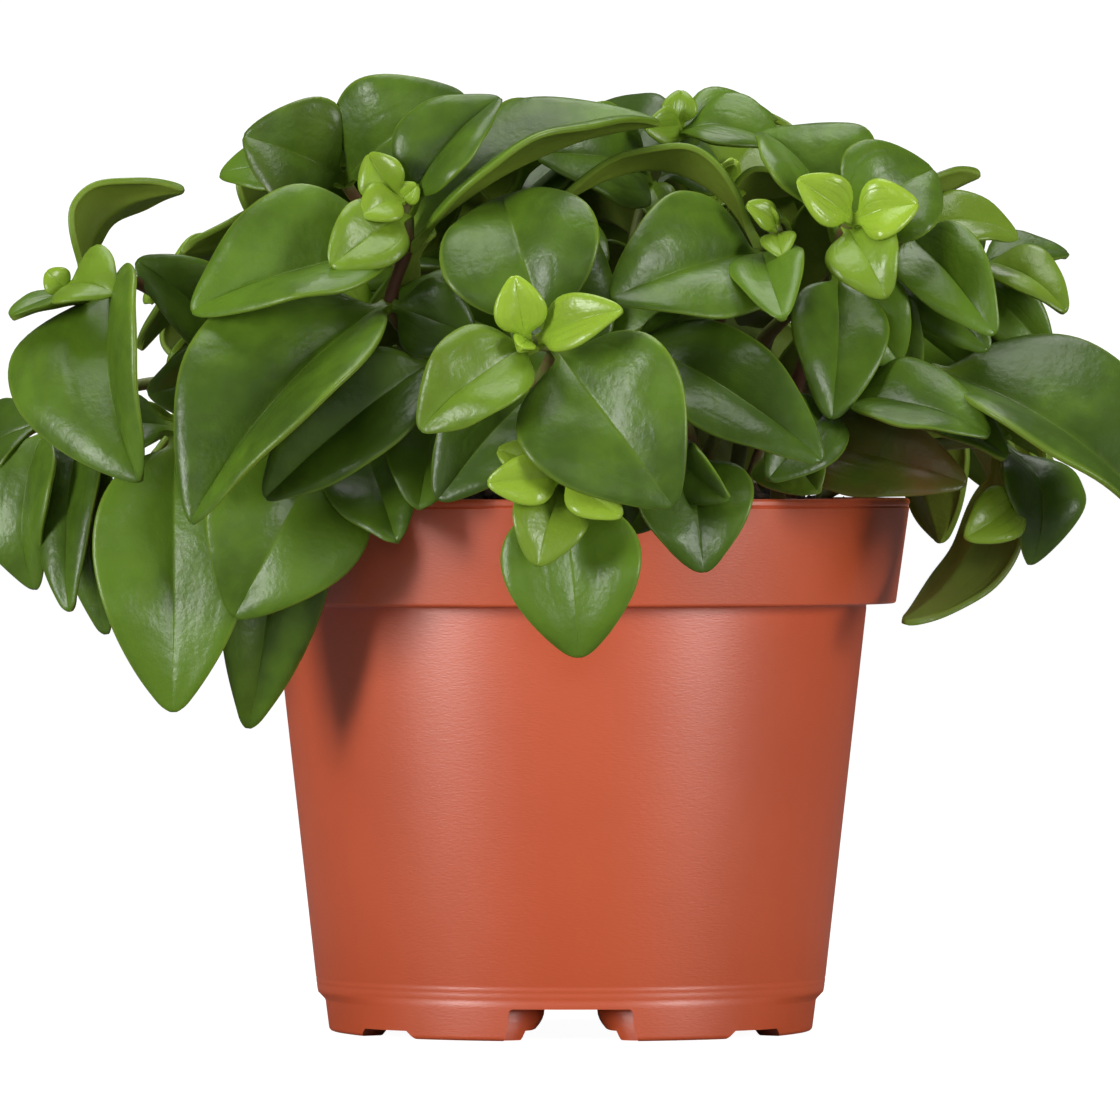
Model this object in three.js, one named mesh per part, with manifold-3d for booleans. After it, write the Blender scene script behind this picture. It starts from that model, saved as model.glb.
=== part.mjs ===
// A peperomia in its plastic nursery pot: a tapered pot on low feet, filled with soil, and a dense cushion
// of leafy stems that arch up out of the soil and over the rim. Leaves are fleshy, pointed and opposite.
// Millimetres, +Z up, origin at the middle of the surface that the pot stands on, front towards -Y.
import * as THREE from 'three';
import { mergeVertices } from 'three/addons/utils/BufferGeometryUtils.js';
import Module from 'manifold-3d';

const wasm = await Module();
wasm.setup();

// ---------------------------------------------------------------- driving dimensions

const POT_HEIGHT = 94.2;
const RIM_RADIUS = 60; // outside, at the top edge
const RIM_FOOT_RADIUS = 57.6; // outside, at the rim's lower edge
const RIM_DEPTH = 18.6;
const BODY_TOP_RADIUS = 52.4; // outside, just under the rim
const BODY_FOOT_RADIUS = 44.8; // outside, where the step to the base is
const BASE_HEIGHT = 6.9;
const BASE_RADIUS = 43.2;
const FOOT_RING_RADIUS = 38.5; // inside the ring that the pot stands on
const RECESS_HEIGHT = 1.6; // how far the underside is raised inside that ring
const WALL = 1.3;
const POT_SIDES = 36;

const TUNNEL_HEIGHT = 5.6; // the drain tunnel that runs under the pot from front to back
const TUNNEL_MOUTH = 21.6; // its width at the wall
const TUNNEL_THROAT = 9.2; // its width under the middle
const NOTCH_HEIGHT = 1.4; // the shallow drain notches between the feet
const NOTCH_WIDTH = 11.5;
const NOTCH_ANGLES = [42, 138, 222, 318];
const NOTCH_LENGTH = 14;
const DRAIN_RADIUS = 3.2;

const SOIL_LEVEL = 90.5; // at the pot's wall
const SOIL_MOUND = 7; // how much higher the soil stands in the middle
const SOIL_GAP = 0.3; // between the soil and the pot, and round each stem
const ROOT_DEPTH = 12; // how far a stem goes down into the soil

const STEM_RADIUS = 1.7;
const STEM_SIDES = 4;
const STEM_END = 1; // how far a stem goes past its last leaves
const HOLE_RADIUS = 2.5; // the plain hole that each stem stands in
const HOLE_SIDES = 5;
const LEAF_THICKNESS = 1.2;
const MARGIN_THICKNESS = 0.8;
const PETIOLE_LENGTH = 4;
const WIDEST_AT = 0.37; // share of the blade's length, from its base
const BROAD = 26; // a blade this wide has four strips of faces across it, a narrower one two
const BOWED = 7; // a blade that bows this much has three rows of points, a flatter one two
const LEAF_GAP = 0.35; // the least room between leaves of different stems
const SHARED_BASE = 10; // mm3 that two leaves of one stem may share where they join it

// The leafy stems in front are given as they are seen from the front: x and z as they look from here,
// measured where they pass the pot's middle, and the true depth y.
const VIEW_DISTANCE = 2200;
const VIEW_X = -1.9;
const VIEW_Z = 103.5;

function fromFront([x, y, z]) {
  const nearer = (VIEW_DISTANCE + y) / VIEW_DISTANCE;
  return new THREE.Vector3(VIEW_X + (x - VIEW_X) * nearer, y, VIEW_Z + (z - VIEW_Z) * nearer);
}

// ---------------------------------------------------------------- the plant's plan

// root: where the stem leaves the soil. way: the points that it passes, from the soil to its growing tip.
// leaves: [point of the way, tip, width, turn, arch, fold]. A leaf with no turn shows its upper face to the
// front, and turn rolls it about its own line, in degrees. arch, in mm, bows it from node to tip. fold is how
// far its margins rise above the midrib, as a share of half its width.
const SEEN_STEMS = {
  centre: {
    root: [0, -32],
    way: [[-2, -50, 108], [-6, -64, 113], [-3, -78, 121], [-6, -82, 121.5], [-8, -85, 122]],
    leaves: [
      [2, [18.3, -91, 92.7], 30, 0, 5, 0.2],
      [2, [-12, -60, 147], 28, 0, 8, 0.25],
      [3, [-26.5, -90, 106], 17, 20, 4, 0.35],
      [3, [9.3, -94, 127.3], 10, -25, 2, 0.4],
      [4, [-10, -89, 133.5], 9, 0, 1, 0.4],
      [4, [-9, -91, 120.5], 4, 0, 0, 0.3],
      [1, [-23.5, -76, 93.8], 18, 10, 4, 0.3],
      [1, [3, -60, 141], 18, 0, 3, 0.3],
    ],
  },
  left_crown: {
    root: [-14, -22],
    way: [[-22, -40, 116], [-32, -58, 128.5], [-29, -60, 138], [-29, -62, 144.5], [-30, -64, 147]],
    leaves: [
      [1, [-67, -76, 89.5], 33, 40, 5, 0.62],
      [2, [-67, -66, 126.8], 26, 40, 3, 0.55],
      [2, [15.7, -50, 160.5], 25, -68, 5, 0.6],
      [3, [-12.3, -60, 164.6], 17, -38, 3, 0.5],
      [3, [-42.5, -72, 135], 13, 10, 2, 0.3],
      [4, [-37, -69, 144], 8, 20, 1, 0.3],
      [4, [-35.5, -64, 155], 9, -20, 1, 0.4],
      [4, [-27, -66, 149.5], 4, 0, 0, 0.3],
      [1, [-17, -62, 123], 14, 0, 2, 0.3],
    ],
  },
  low_front: {
    root: [6, -44],
    way: [[5, -54, 101], [2, -64, 103], [-1, -74, 97], [-2, -80, 97], [-1, -84, 98]],
    leaves: [
      [2, [1.5, -77, 66], 24, 0, 4, 0.25],
      [3, [-6, -88, 82], 13, 0, 2, 0.3],
      [4, [-14, -90, 95.5], 9, 0, 2, 0.3],
      [4, [10, -90, 92.5], 8.5, 0, 2, 0.3],
      [3, [-13, -84, 102.5], 9, 20, 2, 0.3],
      [3, [12, -85, 97.5], 7, -20, 2, 0.3],
      [4, [-2.5, -87, 101.5], 3, 0, 0, 0.3],
      [4, [2.2, -88, 101], 3, 0, 0, 0.3],
    ],
  },
  right_crown: {
    root: [22, -16],
    way: [[34, -32, 122], [47, -46, 134], [47.5, -52, 139.5], [49, -57, 142], [50, -60, 143]],
    leaves: [
      [2, [33.5, -44, 158.5], 24, 40, 4, 0.5],
      [2, [64, -46, 152], 21, -15, 5, 0.3],
      [3, [56, -67, 129.5], 13, 0, 3, 0.3],
      [4, [40, -66, 150.5], 9, 15, 1, 0.4],
      [4, [61.5, -64, 146], 11, -15, 2, 0.4],
      [1, [46, -62, 108], 17, -10, 3, 0.3],
      [1, [58, -50, 118], 16, 0, 3, 0.3],
      [4, [54, -63, 144.3], 3, 0, 0, 0.3],
    ],
  },
  right_middle: {
    root: [14, -26],
    way: [[24, -40, 122], [34, -52, 137], [36.5, -58, 140.5], [36, -60, 142]],
    leaves: [
      [1, [7, -74, 129], 26, 22, 4, 0.35],
      [1, [38.5, -77, 122], 13, 0, 3, 0.3],
      [1, [-2, -46, 146.5], 15, 100, 11, 0.4],
      [2, [37.5, -66, 136.5], 6, 0, 1, 0.3],
      [3, [31, -64, 146], 5, 30, 1, 0.3],
      [3, [33.8, -62, 146.5], 4, -30, 0, 0.3],
    ],
  },
  far_left: {
    root: [-34, -8],
    way: [[-60, -24, 120], [-80, -40, 133], [-84, -42, 129], [-86, -44, 130], [-89, -46, 131]],
    leaves: [
      [1, [-76, -66, 97], 33, 42, 4, 0.6],
      [3, [-68.3, -38, 148.7], 16, -118, 8, 0.3],
      [2, [-99, -50, 126], 12, 80, 1, 0.3],
      [4, [-80.5, -56, 130], 14, -40, 2, 0.4],
      [4, [-92.5, -46, 134], 5, 0, 1, 0.3],
      [0, [-77, -36, 136], 15, 30, 3, 0.3],
      [0, [-75, -30, 113], 15, -30, 3, 0.3],
    ],
  },
  right_hand: {
    root: [38, -18],
    way: [[52, -34, 112], [63, -46, 117]],
    leaves: [
      [1, [107.5, -54, 86], 36, -55, 5, 0.45],
      [0, [77, -50, 101], 14, -55, 2, 0.4],
      [0, [60, -50, 130], 14, 0, 2, 0.3],
    ],
  },
  mid_right: {
    root: [24, -36],
    way: [[18, -52, 112], [10, -60, 122]],
    leaves: [
      [1, [44.5, -78, 100.5], 20, -25, 4, 0.3],
      [1, [26, -62, 131], 8, 40, 1, 0.3],
    ],
  },
  low_right: {
    root: [18, -44],
    way: [[18, -54, 101], [19, -63, 104], [21, -67, 103]],
    leaves: [
      [2, [23.6, -76, 81], 20, 0, 3, 0.35],
      [2, [30, -76, 91.5], 10, 40, 3, 0.3],
      [1, [10, -70, 88], 14, 0, 3, 0.3],
    ],
  },
  under_right: {
    root: [36, -32],
    way: [[38, -44, 104], [47, -54, 111.5]],
    leaves: [
      [1, [74, -66, 105], 16, -45, 3, 0.4],
      [1, [34.7, -68, 97.3], 13, 0, 2, 0.3],
      [0, [44, -62, 95], 15, 10, 3, 0.3],
      [0, [70, -56, 96.5], 17, -20, 3, 0.3],
    ],
  },
  left_middle: {
    root: [-20, -40],
    way: [[-24, -52, 108], [-23, -61, 119]],
    leaves: [
      [1, [-54, -66, 94], 19, 20, 3, 0.4],
      [0, [-27, -66, 92], 15, 0, 2, 0.3],
    ],
  },
  low_left: {
    root: [-30, -34],
    way: [[-36, -44, 102], [-43, -50, 104]],
    leaves: [
      [1, [-59.5, -58, 73], 29, 0, 5, 0.2],
      [0, [-30.6, -66, 86.2], 18, 0, 3, 0.3],
      [1, [-57, -50, 118], 18, 0, 3, 0.3],
    ],
  },
  hanging_left: {
    root: [-38, -22],
    way: [[-52, -34, 104], [-70, -44, 106]],
    leaves: [
      [1, [-70.3, -51, 56.2], 28, 0, 4, 0.25],
      [0, [-57.2, -42, 53.4], 20, -10, 9, 0.3],
      [1, [-84, -44, 104], 12, 40, 3, 0.3],
    ],
  },
  outer_left: {
    root: [-42, -4],
    way: [[-66, -14, 114], [-84, -26, 112], [-91, -28, 108]],
    leaves: [
      [2, [-94.5, -32, 78], 20, 45, 5, 0.4],
      [1, [-88.5, -44, 74], 14, 35, 4, 0.3],
      [1, [-82, -34, 70], 12, 30, 4, 0.3],
      [2, [-103.4, -14, 92], 18, 60, 4, 0.3],
    ],
  },
  back_left_crown: {
    root: [-20, 4],
    way: [[-30, -16, 134], [-40, -30, 150]],
    leaves: [
      [1, [-58, -38, 158], 22, 15, 4, 0.3],
      [1, [-18.5, -40, 165], 24, -15, 5, 0.2],
      [1, [-62, -28, 151], 13, 40, 3, 0.3],
      [0, [-69, -32, 137.5], 20, 140, 4, 0.3],
      [0, [-62, -24, 128], 14, 40, 3, 0.3],
    ],
  },
  top: {
    root: [4, -10],
    way: [[10, -16, 134], [14, -18, 150], [18, -22, 158], [19, -23, 160]],
    leaves: [
      [1, [-7, -38, 155], 20, 30, 4, 0.3],
      [2, [37, -28, 156], 15, -50, 3, 0.4],
      [3, [19.5, -23, 166], 6, 0, 1, 0.3],
      [3, [13, -30, 159.5], 7, 0, 1, 0.3],
      [1, [4, 4, 163], 18, 30, 4, 0.3],
      [1, [22, -2, 158], 18, 20, 4, 0.3],
      [2, [36, -10, 161], 12, -50, 3, 0.3],
    ],
  },
  right_arch: {
    root: [34, -2],
    way: [[48, -20, 134], [57, -36, 138], [59, -39, 141]],
    leaves: [
      [2, [75, -55, 123], 15, -10, 4, 0.4],
      [2, [79, -36, 140], 14, -50, 3, 0.3],
      [1, [74.8, -45, 119], 12, 0, 2, 0.3],
      [2, [72.5, -30, 151.5], 10, -110, 2, 0.3],
      [0, [76, -38, 112], 17, 0, 3, 0.3],
    ],
  },
  far_right: {
    root: [40, 4],
    way: [[58, -10, 128], [71, -24, 134]],
    leaves: [
      [1, [88, -20, 137], 12, -60, 2, 0.3],
      [1, [87.5, -38, 126.8], 12, -50, 4, 0.4],
      [1, [85, -28, 119.5], 11, 0, 3, 0.3],
      [0, [80, -30, 111], 14, 0, 3, 0.3],
      [0, [72, -6, 147], 14, 0, 3, 0.3],
    ],
  },
  low_far_right: {
    root: [44, -6],
    way: [[62, -16, 103], [76, -26, 103], [80, -36, 94]],
    leaves: [
      [1, [81, -34, 82.4], 18, -40, 7, 0.3],
      [1, [58.8, -34, 72.2], 15, -135, 7, 0.3],
      [2, [69.6, -46, 87], 10, 0, 2, 0.3],
    ],
  },
};

// The stems that the front doesn't show grow by rule. compass: the way that a stem leans, in degrees from +X
// towards +Y. reach: how far its tip gets from the pot's middle. crown: how high it arches. droop: how far
// over it bends, from 0.5, not at all, to 0.9.
const RULED_STEMS = {
  skirt_1: { compass: 8, reach: 72, crown: 114, droop: 0.76 },
  skirt_2: { compass: 36, reach: 78, crown: 116, droop: 0.78 },
  skirt_3: { compass: 67, reach: 76, crown: 114, droop: 0.8 },
  skirt_4: { compass: 96, reach: 80, crown: 116, droop: 0.78 },
  skirt_5: { compass: 125, reach: 78, crown: 114, droop: 0.8 },
  skirt_6: { compass: 153, reach: 76, crown: 116, droop: 0.78 },
  middle_1: { compass: 26, reach: 58, crown: 138, droop: 0.6 },
  middle_2: { compass: 62, reach: 60, crown: 140, droop: 0.62 },
  middle_3: { compass: 98, reach: 62, crown: 138, droop: 0.6 },
  middle_4: { compass: 134, reach: 60, crown: 140, droop: 0.62 },
  middle_5: { compass: 170, reach: 60, crown: 138, droop: 0.6 },
  top_1: { compass: 50, reach: 32, crown: 152, droop: 0.52 },
  top_2: { compass: 105, reach: 32, crown: 153, droop: 0.52 },
  top_3: { compass: 152, reach: 32, crown: 151, droop: 0.52 },
  top_4: { compass: 352, reach: 26, crown: 147, droop: 0.52 },
  inner_1: { compass: 220, reach: 14, crown: 147, droop: 0.5 },
  inner_2: { compass: 265, reach: 44, crown: 118, droop: 0.56, pairs: 2 },
  inner_3: { compass: 222, reach: 46, crown: 124, droop: 0.56, pairs: 2 },
};
const PAIRS = 3; // leaf pairs on a ruled stem, where it isn't given fewer
const FIRST_LEAF = 37; // length of its lowest leaves
const LAST_LEAF = 24;
const SEED = 20;
const RULED_FOLD = 0.35;
const DOME_CENTRE = new THREE.Vector3(0, 0, 92); // ruled leaves turn their upper faces away from here
const TO_FRONT = new THREE.Vector3(0, -1, 0);

function seededDraw(seed) {
  let state = seed;
  return () => {
    state = (state * 16807) % 2147483647;
    return state / 2147483647;
  };
}

// A ruled stem rises from the soil, arches over and carries crossed pairs of leaves.
function growByRule({ compass, reach, crown, droop, pairs = PAIRS }, draw) {
  const angle = THREE.MathUtils.degToRad(compass);
  const out = new THREE.Vector3(Math.cos(angle), Math.sin(angle), 0);
  const across = new THREE.Vector3(-out.y, out.x, 0);
  const rootReach = 12 + 0.35 * reach;
  const way = [];
  for (let i = 0; i <= pairs; i += 1) {
    const share = 0.2 + 0.8 * (i / pairs);
    const height = 96 + (crown - 96) * Math.sin(share * droop * Math.PI);
    way.push(out.clone().multiplyScalar(rootReach + (reach - rootReach) * share ** 1.3).setZ(height));
  }
  const leaves = [];
  for (let pair = 0; pair < pairs; pair += 1) {
    const node = pair + 1;
    const ahead = way[node].clone().sub(way[pair]).normalize();
    const rise = new THREE.Vector3().crossVectors(across, ahead).negate();
    const length = FIRST_LEAF + (LAST_LEAF - FIRST_LEAF) * (pair / (pairs - 1)) ** 1.2;
    for (const hand of [1, -1]) {
      const tip = way[node].clone();
      tip.addScaledVector(pair % 2 ? rise : across, hand * length * (0.7 + 0.14 * draw()));
      tip.addScaledVector(ahead, length * (0.4 + 0.25 * draw()));
      tip.z -= length * (0.1 + 0.25 * draw());
      leaves.push({
        node: way[node],
        tip,
        width: length * (0.6 + 0.1 * draw()),
        turn: 30 * (draw() - 0.5),
        arch: 2 + 3 * draw(),
        fold: RULED_FOLD,
        outward: way[node].clone().add(tip).multiplyScalar(0.5).sub(DOME_CENTRE),
      });
    }
  }
  return { root: [out.x * rootReach, out.y * rootReach], way, leaves };
}

// ---------------------------------------------------------------- solids

function toSolid(geometry) {
  const bare = geometry.clone();
  bare.deleteAttribute('normal');
  bare.deleteAttribute('uv');
  const merged = mergeVertices(bare, 1e-4);
  return new wasm.Manifold(
    new wasm.Mesh({
      numProp: 3,
      vertProperties: new Float32Array(merged.attributes.position.array),
      triVerts: new Uint32Array(merged.index.array),
    }),
  );
}

function toGeometry(solid) {
  const mesh = solid.getMesh();
  const geometry = new THREE.BufferGeometry();
  geometry.setAttribute('position', new THREE.BufferAttribute(new Float32Array(mesh.vertProperties), 3));
  geometry.setIndex(new THREE.BufferAttribute(new Uint32Array(mesh.triVerts), 1));
  return geometry;
}

// A solid of revolution about Z from [radius, z] pairs, which start and end on the axis, lowest first.
function turned(profile, sides) {
  const lathe = new THREE.LatheGeometry(
    profile.map(([radius, z]) => new THREE.Vector2(radius, z)),
    sides,
  );
  return toSolid(lathe.rotateX(Math.PI / 2));
}

// ---------------------------------------------------------------- pot and soil

const FLOOR = 3.1; // the pot's floor
const TUNNEL_ROOF = 1.5; // the wall over and beside the drain tunnel

// The drain tunnel: wide at the two mouths, narrow under the middle. grow is the room added all round it.
function tunnelCutter(grow) {
  const mouth = TUNNEL_MOUTH / 2 + grow;
  const throat = TUNNEL_THROAT / 2 + grow;
  const far = BODY_TOP_RADIUS + 5;
  const flareStart = 26 - grow;
  const flareEnd = 40 - grow;
  const plan = new THREE.Shape();
  plan.moveTo(throat, -flareStart);
  plan.lineTo(throat, flareStart);
  plan.quadraticCurveTo(throat, flareEnd - 2, mouth, flareEnd);
  plan.lineTo(mouth, far);
  plan.lineTo(-mouth, far);
  plan.lineTo(-mouth, flareEnd);
  plan.quadraticCurveTo(-throat, flareEnd - 2, -throat, flareStart);
  plan.lineTo(-throat, -flareStart);
  plan.quadraticCurveTo(-throat, 2 - flareEnd, -mouth, -flareEnd);
  plan.lineTo(-mouth, -far);
  plan.lineTo(mouth, -far);
  plan.lineTo(mouth, -flareEnd);
  plan.quadraticCurveTo(throat, 2 - flareEnd, throat, -flareStart);
  const depth = TUNNEL_HEIGHT + grow + 2;
  const block = new THREE.ExtrudeGeometry(plan, { depth, bevelEnabled: false, curveSegments: 4 });
  return toSolid(block.translate(0, 0, -2));
}

function notchCutter(degrees) {
  const block = new THREE.BoxGeometry(NOTCH_LENGTH, NOTCH_WIDTH, 2 * NOTCH_HEIGHT);
  return toSolid(block.translate(BASE_RADIUS, 0, 0).rotateZ(THREE.MathUtils.degToRad(degrees)));
}

function drainCutter(y) {
  const hole = new THREE.CylinderGeometry(DRAIN_RADIUS, DRAIN_RADIUS, 20, 6);
  return toSolid(hole.rotateX(Math.PI / 2).translate(0, y, 0));
}

// The space inside the pot, drawn in by inset: the soil fills it with an inset of its own.
function innerProfile(inset) {
  const rim = RIM_RADIUS - WALL - inset;
  const rimFoot = RIM_FOOT_RADIUS - WALL - inset;
  const body = BODY_TOP_RADIUS - WALL - inset;
  const foot = BODY_FOOT_RADIUS - WALL - inset;
  const ledge = POT_HEIGHT - RIM_DEPTH;
  return [
    [0, FLOOR + inset],
    [BASE_RADIUS - 1.2 - WALL - inset, FLOOR + inset],
    [foot - 0.6, BASE_HEIGHT],
    [body, ledge + 1 + inset],
    [rimFoot - 0.8, ledge + WALL + 0.6 + inset],
    [rim, POT_HEIGHT],
    [rim, POT_HEIGHT + 5],
    [0, POT_HEIGHT + 5],
  ];
}

function potSolid() {
  const ledge = POT_HEIGHT - RIM_DEPTH;
  const outer = turned(
    [
      [0, RECESS_HEIGHT],
      [FOOT_RING_RADIUS, RECESS_HEIGHT],
      [FOOT_RING_RADIUS + 0.6, 0],
      [BASE_RADIUS - 0.7, 0],
      [BASE_RADIUS, BASE_HEIGHT - 1.2],
      [BODY_FOOT_RADIUS - 0.2, BASE_HEIGHT],
      [BODY_TOP_RADIUS, ledge],
      [RIM_FOOT_RADIUS - 1, ledge],
      [RIM_FOOT_RADIUS, ledge + 1.2],
      [RIM_RADIUS, POT_HEIGHT - 0.5],
      [RIM_RADIUS - 0.4, POT_HEIGHT],
      [0, POT_HEIGHT],
    ],
    POT_SIDES,
  );
  let solid = outer.subtract(tunnelCutter(0));
  for (const degrees of NOTCH_ANGLES) solid = solid.subtract(notchCutter(degrees));
  solid = solid.subtract(turned(innerProfile(0), POT_SIDES).subtract(tunnelCutter(TUNNEL_ROOF)));
  for (const y of [-20, 0, 20]) solid = solid.subtract(drainCutter(y));
  return solid;
}

function soilHeight(radius) {
  return SOIL_LEVEL + SOIL_MOUND * (1 - (radius / RIM_RADIUS) ** 2);
}

function soilSolid(roots) {
  const profile = innerProfile(SOIL_GAP).slice(0, 5);
  const edge = RIM_RADIUS - WALL - SOIL_GAP - 0.7;
  for (const radius of [edge, 30, 0]) profile.push([radius, soilHeight(radius)]);
  let solid = turned(profile, POT_SIDES).subtract(tunnelCutter(TUNNEL_ROOF + SOIL_GAP));
  for (const [x, y] of roots) {
    const hole = new THREE.CylinderGeometry(HOLE_RADIUS, HOLE_RADIUS, 2 * ROOT_DEPTH + 1, HOLE_SIDES);
    hole.rotateX(Math.PI / 2).translate(x, y, soilHeight(Math.hypot(x, y)));
    solid = solid.subtract(toSolid(hole));
  }
  return solid;
}

// ---------------------------------------------------------------- leaves and stems

// Half the blade's width at a share of its length: rounded at the base, drawn out to a point.
function bladeHalfWidth(share, width) {
  const rise = 0.5;
  const fall = (rise * (1 - WIDEST_AT)) / WIDEST_AT;
  const peak = WIDEST_AT ** rise * (1 - WIDEST_AT) ** fall;
  return ((width / 2) * share ** rise * (1 - share) ** fall) / peak;
}

// A leaf starts at its node inside the stem and ends in its tip. Between them lies a sheet of points, arched
// along its length and cupped across it, which is thickened to both sides. turn rolls the leaf about the
// line from node to tip, in degrees.
function leafSolid({ node, tip, width, turn, arch, fold, outward }) {
  const line = tip.clone().sub(node);
  const length = line.length();
  line.normalize();
  const side = new THREE.Vector3().crossVectors(line, outward).normalize();
  side.applyAxisAngle(line, THREE.MathUtils.degToRad(turn));
  const face = new THREE.Vector3().crossVectors(side, line);
  const petiole = Math.min(PETIOLE_LENGTH, 0.2 * length);
  const shares = width >= BROAD || arch >= BOWED ? [0.07, 0.36, 0.72] : [0.1, 0.5];
  const columns = width >= BROAD ? [-1, -0.5, 0, 0.5, 1] : [-1, 0, 1];
  const place = (share, column) => {
    const along = petiole + (length - petiole) * share;
    const half = bladeHalfWidth(share, width);
    const bow = (4 * arch * along * (length - along)) / length ** 2;
    const point = node.clone().addScaledVector(line, along).addScaledVector(side, column * half);
    return point.addScaledVector(face, bow + fold * half * Math.abs(column) ** 1.4);
  };
  const rows = shares.length;
  const edge = columns.length - 1;
  const position = [];
  for (const up of [1, -1]) {
    position.push(...node.clone().addScaledVector(face, (up * MARGIN_THICKNESS) / 2).toArray());
    for (const share of shares) {
      for (const column of columns) {
        const ahead = place(share + 0.05, column).sub(place(share - 0.05, column));
        const across = place(share, column + 0.3).sub(place(share, column - 0.3));
        const thick = Math.abs(column) === 1 ? MARGIN_THICKNESS : LEAF_THICKNESS;
        const away = across.cross(ahead).setLength(up * (thick / 2));
        position.push(...place(share, column).add(away).toArray());
      }
    }
    position.push(...tip.clone().addScaledVector(face, (up * MARGIN_THICKNESS) / 2).toArray());
  }
  const under = position.length / 6;
  const at = (row, column) => {
    if (row < 0) return 0;
    return row < rows ? 1 + row * (edge + 1) + column : under - 1;
  };
  const index = [];
  const triangle = (a, b, c) => {
    if (a !== b && b !== c && c !== a) index.push(a, b, c);
  };
  for (let row = -1; row < rows; row += 1) {
    for (let column = 0; column < edge; column += 1) {
      const [a, b] = [at(row, column), at(row, column + 1)];
      const [c, d] = [at(row + 1, column + 1), at(row + 1, column)];
      triangle(a, b, c);
      triangle(a, c, d);
      triangle(under + a, under + c, under + b);
      triangle(under + a, under + d, under + c);
    }
    for (const [near, far] of [
      [at(row, 0), at(row + 1, 0)],
      [at(row + 1, edge), at(row, edge)],
    ]) {
      triangle(near, far, under + far);
      triangle(near, under + far, under + near);
    }
  }
  const geometry = new THREE.BufferGeometry();
  geometry.setAttribute('position', new THREE.Float32BufferAttribute(position, 3));
  geometry.setIndex(index);
  return toSolid(geometry);
}

// A smooth curve that is divided at the points it passes, so that each leaf starts in the middle of its stem.
class StemCurve extends THREE.CatmullRomCurve3 {
  getPointAt(share) {
    return this.getPoint(share);
  }

  getTangentAt(share) {
    return this.getTangent(share);
  }
}

// A stem stands upright in the soil, follows its way and ends just past its last leaves.
function stemSolid({ root: [x, y], way }) {
  const section = new THREE.Shape();
  for (let i = 0; i < STEM_SIDES; i += 1) {
    const angle = (i / STEM_SIDES) * 2 * Math.PI;
    section[i ? 'lineTo' : 'moveTo'](STEM_RADIUS * Math.cos(angle), STEM_RADIUS * Math.sin(angle));
  }
  const surface = soilHeight(Math.hypot(x, y));
  const low = new THREE.Vector3(x, y, surface - ROOT_DEPTH);
  const high = new THREE.Vector3(x, y, surface + 1);
  const extrude = (extrudePath, steps) =>
    toSolid(new THREE.ExtrudeGeometry(section, { steps, extrudePath, bevelEnabled: false }));
  const last = way.at(-1).clone();
  const end = last.add(last.clone().sub(way.at(-2)).setLength(STEM_END));
  const arching = new StemCurve([high, ...way.slice(0, -1), end]);
  return extrude(new THREE.LineCurve3(low, high), 1).add(extrude(arching, way.length));
}

// ---------------------------------------------------------------- keeping the stems apart

// A leaf that would touch another stem's leaf is bent clear: it swings about its node, a little at first,
// and if nothing helps it is a smaller leaf.
const SWINGS = [0, 8, 16, 26];
const SWING_WAYS = 8;
const SIZES = [1, 0.85, 0.7, 0.55];
const FINEST = 0.05; // detail smaller than this is dropped where leaves join

function* bentClear(leaf) {
  const line = leaf.tip.clone().sub(leaf.node);
  const side = new THREE.Vector3().crossVectors(line, leaf.outward).normalize();
  for (const size of SIZES) {
    for (const swing of SWINGS) {
      for (let way = 0; way < (swing ? SWING_WAYS : 1); way += 1) {
        const axis = side.clone().applyAxisAngle(line.clone().normalize(), (way / SWING_WAYS) * 2 * Math.PI);
        const swung = line.clone().applyAxisAngle(axis, THREE.MathUtils.degToRad(swing));
        const tip = leaf.node.clone().addScaledVector(swung, size);
        yield { ...leaf, tip, width: leaf.width * size };
      }
    }
  }
}

function boxesMeet(a, b) {
  const reach = new THREE.Vector3(LEAF_GAP, LEAF_GAP, LEAF_GAP);
  return new THREE.Box3(a.min.clone().sub(reach), a.max.clone().add(reach)).intersectsBox(b);
}

function boxOf(solid) {
  const { min, max } = solid.boundingBox();
  return new THREE.Box3(new THREE.Vector3(...min), new THREE.Vector3(...max));
}

function isClear(solid, name, standing) {
  const box = boxOf(solid);
  return !standing.some((other) => {
    if (!boxesMeet(box, other.box)) return false;
    if (other.name !== name) return solid.minGap(other.solid, LEAF_GAP) < LEAF_GAP;
    return !other.isStem && solid.intersect(other.solid).volume() > SHARED_BASE;
  });
}

function plannedStems() {
  const draw = seededDraw(SEED);
  const plans = new Map();
  for (const [name, { root, way, leaves }] of Object.entries(SEEN_STEMS)) {
    const points = way.map(fromFront);
    const seen = leaves.map(([at, tip, width, turn, arch, fold]) => {
      return { node: points[at], tip: fromFront(tip), width, turn, arch, fold, outward: TO_FRONT };
    });
    plans.set(name, { root, way: points, leaves: seen });
  }
  for (const [name, rule] of Object.entries(RULED_STEMS)) plans.set(name, growByRule(rule, draw));
  return plans;
}

function addMesh(group, name, solid, colour, roughness) {
  const material = new THREE.MeshStandardMaterial({ color: colour, roughness, metalness: 0 });
  const mesh = new THREE.Mesh(toGeometry(solid), material);
  mesh.name = name;
  group.add(mesh);
}

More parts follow.
